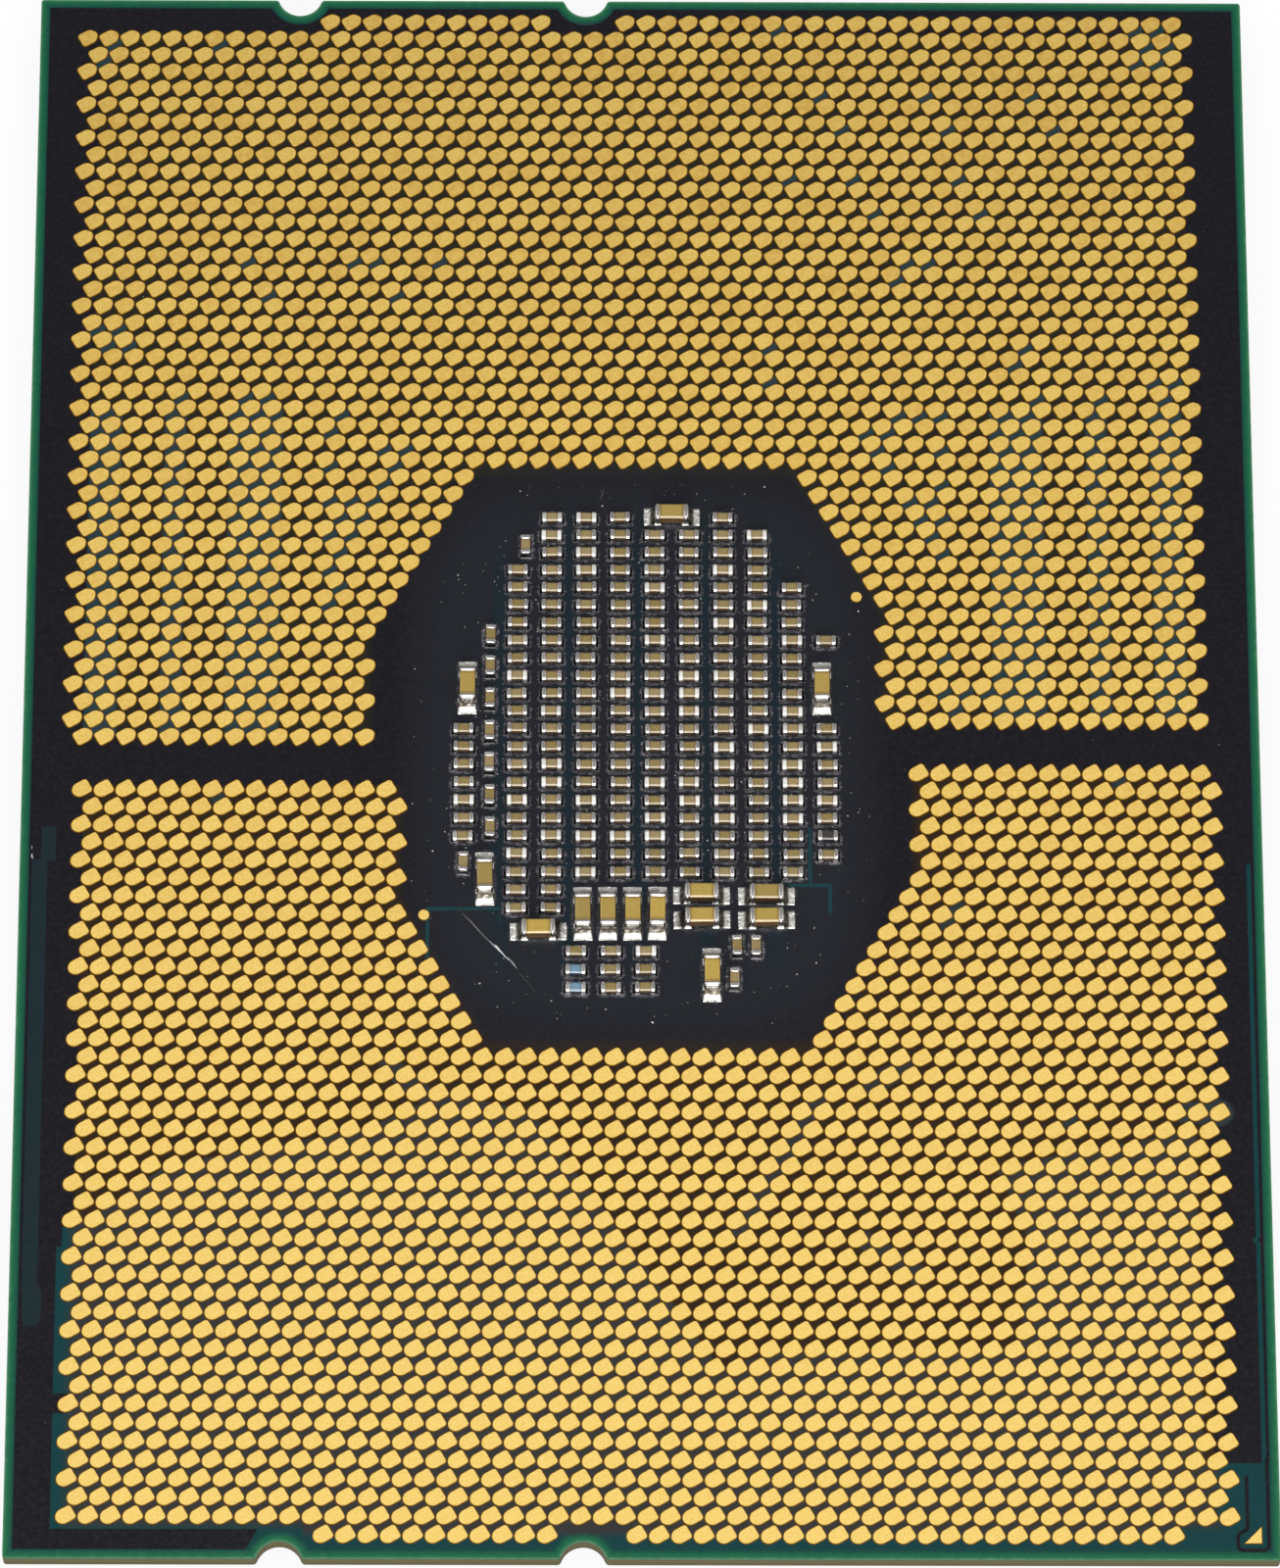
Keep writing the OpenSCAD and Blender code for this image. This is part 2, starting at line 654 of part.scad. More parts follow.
module block_end_caps() {
    color("#d8d6d0") at_places(concat(block_places(), blue_places())) small_end_caps();
}

module block_solder() {
    color("#8e8e90") at_places(concat(block_places(), blue_places())) small_joints();
}

module dark_chip() {
    color("#5a4c48") at_places(dark_places()) small_ceramic();
}

module large_upright_capacitors() {
    color("#b8954a") at_places(large_upright_places(), true) large_ceramic();
}

module large_upright_end_caps() {
    color("#d8d6d0") at_places(large_upright_places(), true) large_end_caps();
}

module large_upright_solder() {
    color("#c8c6bc") at_places(large_upright_places(), true) large_joints();
}

module large_across_capacitors() {
    color("#b8954a") at_places(large_across_places()) large_ceramic();
}

module large_across_end_caps() {
    color("#d8d6d0") at_places(large_across_places()) large_end_caps();
}

module large_across_solder() {
    color("#c8c6bc") at_places(large_across_places()) large_joints();
}

// Section of a stamped slab: flat base, upper edges rounded
module slab_section(w, h, e) {
    translate([-w / 2, 0]) square([w, h - e]);
    translate([e - w / 2, 0]) square([w - 2 * e, h]);
    for (side = [1, -1])
        translate([side * (w / 2 - e), h - e]) circle(e);
}

// A slab with round corners and a rounded upper edge
module stamped_slab(w, l, h, corner, e) {
    rotate([90, 0, 0]) translate([0, 0, corner - l / 2])
        linear_extrude(l - 2 * corner) slab_section(w, h, e);
    rotate([90, 0, 90]) translate([0, 0, corner - w / 2])
        linear_extrude(w - 2 * corner) slab_section(l, h, e);
    for (x = [1, -1], y = [1, -1])
        translate([x * (w / 2 - corner), y * (l / 2 - corner), 0])
            rotate_extrude() intersection() {
                slab_section(2 * corner, h, e);
                square([corner, h]);
            }
}

module heat_spreader() {
    color("#c3c4c2") difference() {
        translate([0, 0, z_foot]) mirror([0, 0, 1]) {
            stamped_slab(lid_w, lid_l, flange_t, lid_corner_r, lid_edge_r);
            stamped_slab(plateau_w, plateau_l, lid_h, plateau_corner_r, lid_edge_r);
        }
        translate([0, 0, z_pocket]) linear_extrude(pocket_depth + past)
            rounded_rect(lid_w - 2 * foot_w, lid_l - 2 * foot_w, lid_corner_r);
    }
}

module lid_sealant() {
    outer_w = lid_w - 2 * sealant_inset;
    outer_l = lid_l - 2 * sealant_inset;
    color("#3b3b3d") translate([0, 0, z_foot]) linear_extrude(sealant_t) difference() {
        rounded_rect(outer_w, outer_l, lid_corner_r - sealant_inset);
        square([outer_w - 2 * sealant_w, outer_l - 2 * sealant_w], center = true);
        translate([0, outer_l / 2]) square([vent_w, 2 * sealant_w + past], center = true);
    }
}

module thermal_interface() {
    color("#9a9ca0") translate([-die_w / 2, -die_l / 2, z_pocket]) cube([die_w, die_l, interface_t]);
}

module silicon_die() {
    color("#4a4e58") translate([-die_w / 2, -die_l / 2, z_die]) cube([die_w, die_l, die_t]);
}

module underfill() {
    color("#5c5348") translate([0, 0, z_die + die_t]) linear_extrude(underfill_t)
        rounded_rect(die_w + 2 * underfill_margin, die_l + 2 * underfill_margin, underfill_margin);
}

function column_names(piece) = [for (c = [0 : columns - 1]) str("column_", c, "_", piece)];

heat_spreader();
thermal_interface();
silicon_die();
underfill();
lid_sealant();
board();
copper_plane();
lands(1);  // upper_lands
lands(-1);  // lower_lands
corner_mark();
fiducial_dots();
for (c = [0 : columns - 1]) {
    column_solder(c);
    column_capacitors(c);
    column_end_caps(c);
}
upright_solder();
upright_capacitors();
upright_end_caps();
block_solder();
block_capacitors();
block_end_caps();
blue_chips();
dark_chip();
large_upright_solder();
large_upright_capacitors();
large_upright_end_caps();
large_across_solder();
large_across_capacitors();
large_across_end_caps();
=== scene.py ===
import math
import random

import bmesh
import bpy
from mathutils import Matrix, Vector


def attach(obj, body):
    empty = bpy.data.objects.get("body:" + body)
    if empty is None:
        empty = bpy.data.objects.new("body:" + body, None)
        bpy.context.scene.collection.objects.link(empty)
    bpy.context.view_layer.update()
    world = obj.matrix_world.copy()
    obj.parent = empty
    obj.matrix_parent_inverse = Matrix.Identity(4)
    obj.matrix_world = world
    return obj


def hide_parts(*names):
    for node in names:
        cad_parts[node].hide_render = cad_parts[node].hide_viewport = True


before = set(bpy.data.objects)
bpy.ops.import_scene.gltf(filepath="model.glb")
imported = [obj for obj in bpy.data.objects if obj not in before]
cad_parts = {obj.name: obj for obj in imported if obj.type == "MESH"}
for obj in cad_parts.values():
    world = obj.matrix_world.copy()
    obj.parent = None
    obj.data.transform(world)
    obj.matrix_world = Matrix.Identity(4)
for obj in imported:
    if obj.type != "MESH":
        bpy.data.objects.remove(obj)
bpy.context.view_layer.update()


# Heat spreader: the stamped copper lid that the package lies on, plated with dull nickel.
# It is pressed from rolled sheet, so its faces keep a fine grain and a few rub marks.
MM = 0.001
NICKEL = (168, 167, 162)
NICKEL_WORN = (146, 142, 134)
NICKEL_RUBBED = 0.2
ROLL_STRETCH = (1.0, 0.06, 1.0)


def srgb(colour):
    linear = [c / 255 / 12.92 if c <= 10 else ((c / 255 + 0.055) / 1.055) ** 2.4 for c in colour]
    return (*linear, 1.0)


def add(tree, kind, inputs=None, **settings):
    """A node of this kind, with its settings, and with values or links on its inputs."""
    node = tree.nodes.new(kind)
    for name, value in settings.items():
        setattr(node, name, value)
    for key, value in (inputs or {}).items():
        if isinstance(value, bpy.types.NodeSocket):
            tree.links.new(value, node.inputs[key])
        else:
            node.inputs[key].default_value = value
    return node


def calc(tree, operation, *values):
    return add(tree, "ShaderNodeMath", dict(enumerate(values)), operation=operation).outputs[0]


def mixed(tree, factor, first, second):
    """First colour at factor 0, second at factor 1."""
    node = add(tree, "ShaderNodeMix", {0: factor, 6: first, 7: second}, data_type="RGBA")
    return node.outputs[2]


def ramped(tree, value, low, high, start=0.0, end=1.0):
    """Value from low to high, as start to end."""
    inputs = {"Value": value, "From Min": low, "From Max": high, "To Min": start, "To Max": end}
    return add(tree, "ShaderNodeMapRange", inputs).outputs["Result"]


def place_mm(tree):
    """Where a point lies on the package, in millimetres: the vector, then x, y and z."""
    here = add(tree, "ShaderNodeTexCoord").outputs["Object"]
    scaled = add(tree, "ShaderNodeVectorMath", {0: here, "Scale": 1 / MM}, operation="SCALE").outputs[0]
    axes = add(tree, "ShaderNodeSeparateXYZ", {0: scaled}).outputs
    return scaled, axes[0], axes[1], axes[2]


def effect_group(name, wanted, given):
    """A shader node group with these named inputs and outputs."""
    tree = bpy.data.node_groups.new(name, "ShaderNodeTree")
    for label in wanted:
        kind = "NodeSocketVector" if label == "Place" else "NodeSocketFloat"
        tree.interface.new_socket(name=label, in_out="INPUT", socket_type=kind)
    for label in given:
        tree.interface.new_socket(name=label, in_out="OUTPUT", socket_type="NodeSocketFloat")
    return tree, tree.nodes.new("NodeGroupInput").outputs, tree.nodes.new("NodeGroupOutput").inputs


def new_finish(name):
    material = bpy.data.materials.new(name)
    material.use_nodes = True
    return material, material.node_tree, material.node_tree.nodes["Principled BSDF"]


def dress(material, *nodes):
    """Puts one finish on CAD nodes that keep their own shape."""
    for name in nodes:
        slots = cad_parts[name].data.materials
        slots.clear()
        slots.append(material)


# Grain: even fine noise of a plated, fired or moulded surface, from 0 to 1
grain, wanted, given = effect_group("grain", ["Place", "Scale", "Contrast"], ["Value"])
inputs = {"Vector": wanted["Place"], "Scale": wanted["Scale"], "Detail": 4.0}
centred = calc(grain, "SUBTRACT", add(grain, "ShaderNodeTexNoise", inputs).outputs[0], 0.5)
spread = calc(grain, "MULTIPLY_ADD", centred, wanted["Contrast"], 0.5)
limited = add(grain, "ShaderNodeClamp", {"Value": spread}).outputs[0]
grain.links.new(limited, given["Value"])


def grained(tree, place, scale, contrast=2.0):
    inputs = {"Place": place, "Scale": scale, "Contrast": contrast}
    return add(tree, "ShaderNodeGroup", inputs, node_tree=grain).outputs["Value"]


def roughened(tree, shader, value, low, high, height=None, strength=0.2, depth=0.01):
    """Roughness from low to high by a value, and a bump of its height in millimetres."""
    tree.links.new(ramped(tree, value, 0.0, 1.0, low, high), shader.inputs["Roughness"])
    if height is not None:
        inputs = {"Height": height, "Strength": strength, "Distance": depth * MM}
        bump = add(tree, "ShaderNodeBump", inputs)
        tree.links.new(bump.outputs[0], shader.inputs["Normal"])


nickel, tree, shader = new_finish("dull_nickel")
place = place_mm(tree)[0]
rolled = add(tree, "ShaderNodeMapping", {"Vector": place, "Scale": ROLL_STRETCH}).outputs[0]
lines = grained(tree, rolled, 6.0)
rubs = grained(tree, place, 0.22, 3.0)
colour = mixed(tree, calc(tree, "MULTIPLY", rubs, NICKEL_RUBBED), srgb(NICKEL), srgb(NICKEL_WORN))
tree.links.new(colour, shader.inputs["Base Color"])
shader.inputs["Metallic"].default_value = 1.0
worn = calc(tree, "MULTIPLY_ADD", lines, 0.85, calc(tree, "MULTIPLY", rubs, 0.15))
roughened(tree, shader, worn, 0.32, 0.5, lines)
dress(nickel, "heat_spreader")


# Inside the lid: the silicon die, its underfill resin and the soft metal layer that carries its heat.
# The lid and the board close over them, so only a cut package shows them.
for name, node, dark, light, metal, rough in (
    ("polished_silicon", "silicon_die", (62, 66, 76), (74, 78, 90), 0.4, 0.2),
    ("interface_metal", "thermal_interface", (146, 148, 152), (168, 170, 172), 1.0, 0.5),
    ("underfill_resin", "underfill", (58, 50, 42), (72, 62, 52), 0.0, 0.45),
):
    material, tree, shader = new_finish(name)
    place = place_mm(tree)[0]
    cloud = grained(tree, place, 1.5)
    tree.links.new(mixed(tree, cloud, srgb(dark), srgb(light)), shader.inputs["Base Color"])
    shader.inputs["Metallic"].default_value = metal
    roughened(tree, shader, cloud, rough, rough + 0.1)
    dress(material, node)


# Lid sealant: the bead of dark silicone that glues the lid's foot to the board.
# It is squeezed thin when the lid is pressed on, and stays slightly rubbery and uneven.
SILICONE_DARK = (44, 44, 46)
SILICONE_LIGHT = (66, 66, 68)

sealant, tree, shader = new_finish("dark_silicone")
place = place_mm(tree)[0]
lumps = grained(tree, place, 1.2, 2.5)
tree.links.new(mixed(tree, lumps, srgb(SILICONE_DARK), srgb(SILICONE_LIGHT)), shader.inputs["Base Color"])
roughened(tree, shader, lumps, 0.5, 0.7, lumps, 0.4, 0.03)
dress(sealant, "lid_sealant")


# Board: the laminate, milled to its outline with four half-round notches and coated with green mask.
# The mask looks teal over bare laminate and green along the rim, and the milled walls are bare khaki.
# Painted light: the lighter line along the rim's very edge is a painted highlight.
BOARD_HALF_W = 28.25
BOARD_HALF_L = 38.0
BOARD_TOP = 4.35
BOARD_LOW = 3.35
NOTCH_CENTRES = (-16.05, -2.6)
NOTCH_OUT = 0.25
NOTCH_R = 1.05
# Mask colours by distance in from the edge: the lightest, in the outermost 0.06 mm, is a painted highlight;
# the green and teal further in are the mask's own.
RIM_AND_EDGE_HIGHLIGHT_STOPS = (
    (0.0, (88, 136, 106)), (0.06, (52, 108, 76)), (0.14, (28, 95, 63)), (0.28, (20, 84, 61)),
    (0.42, (14, 60, 56)), (0.6, (9, 55, 57)), (1.0, (9, 55, 58)),
)
# Wall colours by height over the board's underside: the laminate's own layers, with the darkest band at the
# foot a painted shade.
WALL_LAYERS_AND_FOOT_SHADE_STOPS = (
    (0.0, (40, 36, 18)), (0.12, (84, 76, 42)), (0.3, (68, 59, 28)), (0.55, (86, 77, 42)),
    (0.8, (74, 70, 38)), (1.0, (64, 84, 54)),
)
SLATE_MASK = (46, 47, 46)
TEAL_MASK = (37, 55, 59)
BAR_MASK = (22, 38, 43)
CAVITY_MASK = (22, 56, 61)
CAVITY_FAINT = (27, 42, 50)
CAVITY_HALF = (11.0, 12.5)
FAINT_BELOW_Y = -7.56
FAINT_FROM_X = -9.0
FIELD_MARGIN = (2.7, 1.45, 1.1)
OUTER_ROW_X = (-15.0, 23.7)
BAR_X = (-27.75, -26.4)
BAR_Y = (-27.7, -3.3)


def colour_steps(tree, value, stops):
    """Colours by value, from stops in its own unit."""
    reach = stops[-1][0]
    node = add(tree, "ShaderNodeValToRGB", {"Fac": calc(tree, "DIVIDE", value, reach)})
    bands = node.color_ramp.elements
    while len(bands) < len(stops):
        bands.new(1.0)
    for band, (at, colour) in zip(bands, stops):
        band.position = at / reach
        band.color = srgb(colour)
    return node.outputs[0]


def between(tree, value, low, high):
    """1 where a value lies between two limits."""
    above = calc(tree, "GREATER_THAN", value, low)
    return calc(tree, "MULTIPLY", above, calc(tree, "LESS_THAN", value, high))


laminate, tree, shader = new_finish("masked_laminate")
place, x, y, z = place_mm(tree)
across = calc(tree, "ABSOLUTE", x)
along = calc(tree, "ABSOLUTE", y)
side_in = calc(tree, "SUBTRACT", BOARD_HALF_W, across)
end_in = calc(tree, "SUBTRACT", BOARD_HALF_L, along)
inward = calc(tree, "MINIMUM", side_in, end_in)
for centre in NOTCH_CENTRES:
    dx = calc(tree, "SUBTRACT", x, centre)
    dy = calc(tree, "SUBTRACT", along, BOARD_HALF_L + NOTCH_OUT)
    squares = calc(tree, "ADD", calc(tree, "MULTIPLY", dx, dx), calc(tree, "MULTIPLY", dy, dy))
    from_notch = calc(tree, "SUBTRACT", calc(tree, "SQRT", squares), NOTCH_R)
    inward = calc(tree, "MINIMUM", inward, from_notch)
cloud = grained(tree, place, 2.5)
wander = calc(tree, "MULTIPLY_ADD", calc(tree, "SUBTRACT", cloud, 0.5), 0.06, inward)
mask_colour = colour_steps(tree, wander, RIM_AND_EDGE_HIGHLIGHT_STOPS)
from_side = calc(tree, "DIVIDE", side_in, FIELD_MARGIN[0])
end_margin = ramped(tree, between(tree, x, *OUTER_ROW_X), 0.0, 1.0, *FIELD_MARGIN[1:])
from_end = calc(tree, "DIVIDE", end_in, end_margin)
in_field = ramped(tree, calc(tree, "MINIMUM", from_side, from_end), 0.9, 1.15)
field_colour = mixed(tree, calc(tree, "GREATER_THAN", y, 0.0), srgb(SLATE_MASK), srgb(TEAL_MASK))
mask_colour = mixed(tree, in_field, mask_colour, field_colour)
near_x = calc(tree, "LESS_THAN", across, CAVITY_HALF[0])
near_y = calc(tree, "LESS_THAN", along, CAVITY_HALF[1])
in_cavity = calc(tree, "MULTIPLY", near_x, near_y)
below = calc(tree, "LESS_THAN", y, FAINT_BELOW_Y)
faint = calc(tree, "MULTIPLY", below, calc(tree, "GREATER_THAN", x, FAINT_FROM_X))
line_colour = mixed(tree, faint, srgb(CAVITY_MASK), srgb(CAVITY_FAINT))
mask_colour = mixed(tree, in_cavity, mask_colour, line_colour)
in_bar = calc(tree, "MULTIPLY", between(tree, x, *BAR_X), between(tree, y, *BAR_Y))
mask_colour = mixed(tree, in_bar, mask_colour, srgb(BAR_MASK))
fibres = add(tree, "ShaderNodeMapping", {"Vector": place, "Scale": (1.0, 1.0, 8.0)}).outputs[0]
weave = grained(tree, fibres, 3.0)
lift = calc(tree, "SUBTRACT", z, BOARD_LOW)
layer = calc(tree, "ADD", lift, calc(tree, "MULTIPLY_ADD", weave, 0.08, -0.04))
wall_colour = colour_steps(tree, layer, WALL_LAYERS_AND_FOOT_SHADE_STOPS)
facing = add(tree, "ShaderNodeNewGeometry").outputs["True Normal"]
upward = add(tree, "ShaderNodeSeparateXYZ", {0: facing}).outputs[2]
flat = calc(tree, "GREATER_THAN", calc(tree, "ABSOLUTE", upward), 0.5)
tree.links.new(mixed(tree, flat, wall_colour, mask_colour), shader.inputs["Base Color"])
shader.inputs["Specular IOR Level"].default_value = 0.2
dull_wall = calc(tree, "MULTIPLY_ADD", weave, 0.2, 0.8)
roughened(tree, shader, calc(tree, "MULTIPLY_ADD", flat, -0.8, dull_wall), 0.22, 0.7, weave, 0.1)
dress(laminate, "board")


# Copper plane: the foil let into the board under the mask, which makes the mask look almost black.
# Its clear strips, lines and corner trace are etched, and the field round the chips is a cooler slate.
# Between the lands it takes on their warm light.
PLANE = (19, 18, 23)
PLANE_LIGHT = (26, 24, 29)
SLATE = (31, 33, 39)
STRIPE = (23, 36, 43)
GOLD_LIT_UPPER = (34, 32, 24)
GOLD_LIT_LOWER = (42, 30, 18)
GRID_REACH = (25.4, 36.3)
GRID_FIRST = (0.7, 1.55)
OPENING_OFF = 0.75
OPENING_HALF = (11.65, 13.73)
OPENING_SLOPE = (15.63, 0.577)
CLEAR = (40, 51, 51)
CLEAR_SPOTS = (
    (26.0, -17.16, 0.62), (25.2, -17.16, 0.55), (24.5, -17.16, 0.55), (14.36, -7.5, 0.42),
    (13.9, -8.15, 0.38), (21.8, -1.29, 0.36), (19.3, -17.6, 0.36), (-19.3, -2.14, 0.36),
)
CORNER_CLEAR_X = (23.6, 25.8)
CORNER_CLEAR_Y = -36.1
STRIPE_FIRST = -3.33
STRIPE_PITCH = 3.147
FIELD_HALF = (10.5, 14.0)
DUST_COLOUR = (120, 126, 130)
DUST_SPACING = 1.1
DUST_SIZE = 0.035


# Dust: sparse small specks, 1 on a speck
dust, wanted, given = effect_group("dust", ["Place", "Spacing", "Size"], ["Mask"])
inverse = calc(dust, "DIVIDE", 1.0, wanted["Spacing"])
cells = add(dust, "ShaderNodeTexVoronoi", {"Vector": wanted["Place"], "Scale": inverse})
chosen = add(dust, "ShaderNodeSeparateColor", {0: cells.outputs["Color"]}).outputs[0]
most_r = calc(dust, "MULTIPLY", wanted["Size"], inverse)
speck_r = calc(dust, "MULTIPLY", most_r, calc(dust, "POWER", chosen, 3.0))
dust.links.new(calc(dust, "LESS_THAN", cells.outputs["Distance"], speck_r), given["Mask"])


def dusty(tree, place, spacing, size):
    inputs = {"Place": place, "Spacing": spacing, "Size": size}
    return add(tree, "ShaderNodeGroup", inputs, node_tree=dust).outputs["Mask"]


plane, tree, shader = new_finish("masked_copper")
place, x, y = place_mm(tree)[:3]
mottle = grained(tree, place, 5.0, 3.0)
base = mixed(tree, mottle, srgb(PLANE), srgb(PLANE_LIGHT))
far_x = calc(tree, "DIVIDE", x, FIELD_HALF[0])
far_y = calc(tree, "DIVIDE", y, FIELD_HALF[1])
spread = calc(tree, "ADD", calc(tree, "POWER", far_x, 4.0), calc(tree, "POWER", far_y, 4.0))
field = ramped(tree, spread, 1.4, 0.5)
along = calc(tree, "ABSOLUTE", y)
aside = calc(tree, "ABSOLUTE", calc(tree, "MULTIPLY_ADD", calc(tree, "SIGN", y), OPENING_OFF, x))
sloped = calc(tree, "MULTIPLY_ADD", along, -OPENING_SLOPE[1], OPENING_SLOPE[0])
past_side = calc(tree, "SUBTRACT", aside, calc(tree, "MINIMUM", OPENING_HALF[0], sloped))
outside = calc(tree, "MAXIMUM", past_side, calc(tree, "SUBTRACT", along, OPENING_HALF[1]))
in_sides = calc(tree, "LESS_THAN", calc(tree, "ABSOLUTE", x), GRID_REACH[0])
in_grid = calc(tree, "MULTIPLY", in_sides, ramped(tree, outside, -0.15, 0.25))
short_half = calc(tree, "GREATER_THAN", calc(tree, "MULTIPLY", x, y), 0.0)
past_first = calc(tree, "SUBTRACT", along, ramped(tree, short_half, 0.0, 1.0, *GRID_FIRST))
before_last = ramped(tree, along, GRID_REACH[1] + 0.1, GRID_REACH[1] - 0.1)
in_rows = calc(tree, "MULTIPLY", ramped(tree, past_first, -0.1, 0.1), before_last)
lit = mixed(tree, calc(tree, "GREATER_THAN", y, 0.0), srgb(GOLD_LIT_LOWER), srgb(GOLD_LIT_UPPER))
base = mixed(tree, calc(tree, "MULTIPLY", in_grid, in_rows), base, lit)
base = mixed(tree, field, base, srgb(SLATE))
at_end = calc(tree, "LESS_THAN", y, CORNER_CLEAR_Y)
at_corner = calc(tree, "MULTIPLY", between(tree, x, *CORNER_CLEAR_X), at_end)
base = mixed(tree, at_corner, base, srgb(RIM_AND_EDGE_HIGHLIGHT_STOPS[-1][1]))
for spot_x, spot_y, spot_r in CLEAR_SPOTS:
    centre = (spot_x, spot_y, BOARD_TOP)
    far = add(tree, "ShaderNodeVectorMath", {0: place, 1: centre}, operation="DISTANCE").outputs["Value"]
    base = mixed(tree, ramped(tree, far, spot_r + 0.08, spot_r - 0.08), base, srgb(CLEAR))
turns = calc(tree, "MULTIPLY", calc(tree, "SUBTRACT", x, STRIPE_FIRST), 2 * math.pi / STRIPE_PITCH)
wave = calc(tree, "COSINE", turns)
stripe = calc(tree, "MULTIPLY", ramped(tree, wave, 0.5, 0.9), ramped(tree, spread, 0.6, 0.2))
base = mixed(tree, stripe, base, srgb(STRIPE))
specks = dusty(tree, place, DUST_SPACING, DUST_SIZE)
tree.links.new(mixed(tree, specks, base, srgb(DUST_COLOUR)), shader.inputs["Base Color"])
shader.inputs["Specular IOR Level"].default_value = 0.2
roughened(tree, shader, mottle, 0.2, 0.3, mottle, 0.05)
dress(plane, "copper_plane")


# Lands: the contact pads, copper plated with nickel and matt gold, etched on a hexagonal grid.
# Each has straight sides, one flat end and one round end, turned half round between the grid's halves.
# Painted light: the gold is paler towards the bottom and warmer towards the top, more on some lands than on
# others.
LAND_PITCH = 0.9906
ROW_PITCH = LAND_PITCH * math.sqrt(3) / 2
LAND_ROWS = 43
LAND_COLS = 53
CAVITY_FIRST_ROW = 27
CAVITY_LEFT = (16, 25)
CAVITY_RIGHT = (15, 22)
OUTER_ROW_FROM = -15.0
LAND_NOTCH_CLEAR = 1.5
LAST_LAND_X = 24.05
LAND_HALF_W = 0.33
LAND_FLAT_END = 0.398
LAND_ROUND_END = 0.455
LAND_CORNER_R = 0.13
LAND_TAPER = (0.3, 0.08)
LAND_CORNER_STEPS = 3
LAND_ROUND_STEPS = 8
LAND_FOOT = 0.044
LAND_TURN = math.radians(30)
LAND_H = 0.02
GOLD = (244, 208, 100)
GOLD_WARM = (230, 186, 92)
GOLD_PALE = (253, 224, 142)
GOLD_DULL = (60, 44, 14)
BRONZE_SIDE_SHADE = (112, 74, 0)


def land_places(side):
    """Centres of the upper half of the grid (side 1) or of the lower half (side -1)."""
    places = []
    for row in range(LAND_ROWS):
        odd = row % 2
        step = row - CAVITY_FIRST_ROW
        left, right = (min(start + step, end) for start, end in (CAVITY_LEFT, CAVITY_RIGHT))
        for i in range(LAND_COLS - 1 + odd):
            halves = 1.5 - odd - LAND_COLS + 2 * i
            px = halves * LAND_PITCH / 2 * side
            open_field = step >= 0 and -left < halves < right
            at_notch = px <= OUTER_ROW_FROM or abs(px - NOTCH_CENTRES[1]) <= LAND_NOTCH_CLEAR
            off_end = row == 0 and (at_notch or (side < 0 and px >= LAST_LAND_X))
            if not open_field and not off_end and (row < LAND_ROWS - 1 or halves < 0):
                places.append((px, (LAND_ROWS - row) * ROW_PITCH * side))
    return places


def land_outline(out, taper):
    """Points round one land, out wider than its top: the flat end's corners, then the tapered round end."""
    half = LAND_HALF_W + out
    corner = LAND_CORNER_R + out
    inner = LAND_FLAT_END + out - corner
    points = []
    for cx, cy, r, start, end, steps, slimming in (
        (inner, corner - half, corner, -90, 0, LAND_CORNER_STEPS, 0.0),
        (inner, half - corner, corner, 0, 90, LAND_CORNER_STEPS, 0.0),
        (LAND_HALF_W - LAND_ROUND_END, 0.0, half, 90, 270, LAND_ROUND_STEPS, taper),
    ):
        for i in range(steps + 1):
            a = math.radians(start + (end - start) * i / steps)
            slim = 1.0 - slimming * math.cos(a) ** 2
            points.append((cx + r * math.cos(a), cy + r * math.sin(a) * slim))
    c, s = math.cos(LAND_TURN), math.sin(LAND_TURN)
    return [(px * c - py * s, px * s + py * c) for px, py in points]


def join_copies(name, verts, faces, places, tones, smooth=(), band=()):
    """One mesh of a shape copied to many places (matrices), with a tone from 0 to 1 on each copy.

    A band is the share, face by face, of a slope or strip that is painted with its own shade colour.
    """
    all_verts, all_faces, all_tones = [], [], []
    for place, tone in zip(places, tones):
        first = len(all_verts)
        all_verts.extend(place @ Vector(v) for v in verts)
        all_faces.extend([first + i for i in f] for f in faces)
        all_tones.extend([tone] * len(faces))
    mesh = bpy.data.meshes.new(name)
    mesh.from_pydata([v * MM for v in all_verts], [], all_faces)
    mesh.attributes.new("tone", "FLOAT", "FACE").data.foreach_set("value", all_tones)
    if smooth:
        mesh.polygons.foreach_set("use_smooth", [s for _ in places for s in smooth])
    if band:
        all_bands = [b for _ in places for b in band]
        mesh.attributes.new("band", "FLOAT", "FACE").data.foreach_set("value", all_bands)
    mesh.update()
    piece = bpy.data.objects.new(name, mesh)
    bpy.context.scene.collection.objects.link(piece)
    return piece


def plated(outline, foot):
    """A plated shape with sides sloping from its top to its foot, banded for painted bronze shade:
    vertices, faces, bands.
    """
    count = len(outline)
    verts = [(px, py, lift) for lift, ring in ((0.0, foot), (LAND_H, outline)) for px, py in ring]
    faces = [list(range(count))[::-1], [count + i for i in range(count)]]
    faces += [[i, (i + 1) % count, count + (i + 1) % count, count + i] for i in range(count)]
    return verts, faces, [0.0, 0.0] + [1.0] * count


def fit(piece, material, slot, *nodes):
    """Gives a piece its finish and its place in the frame."""
    piece.data.materials.append(material)
    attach(piece, "root")
    if nodes:
        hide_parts(*nodes)


gold, tree, shader = new_finish("matt_gold")
place, x, y = place_mm(tree)[:3]
tone = add(tree, "ShaderNodeAttribute", attribute_name="tone").outputs["Fac"]
fine = grained(tree, place, 11.0, 5.0)
blush = grained(tree, place, 3.0, 4.0)
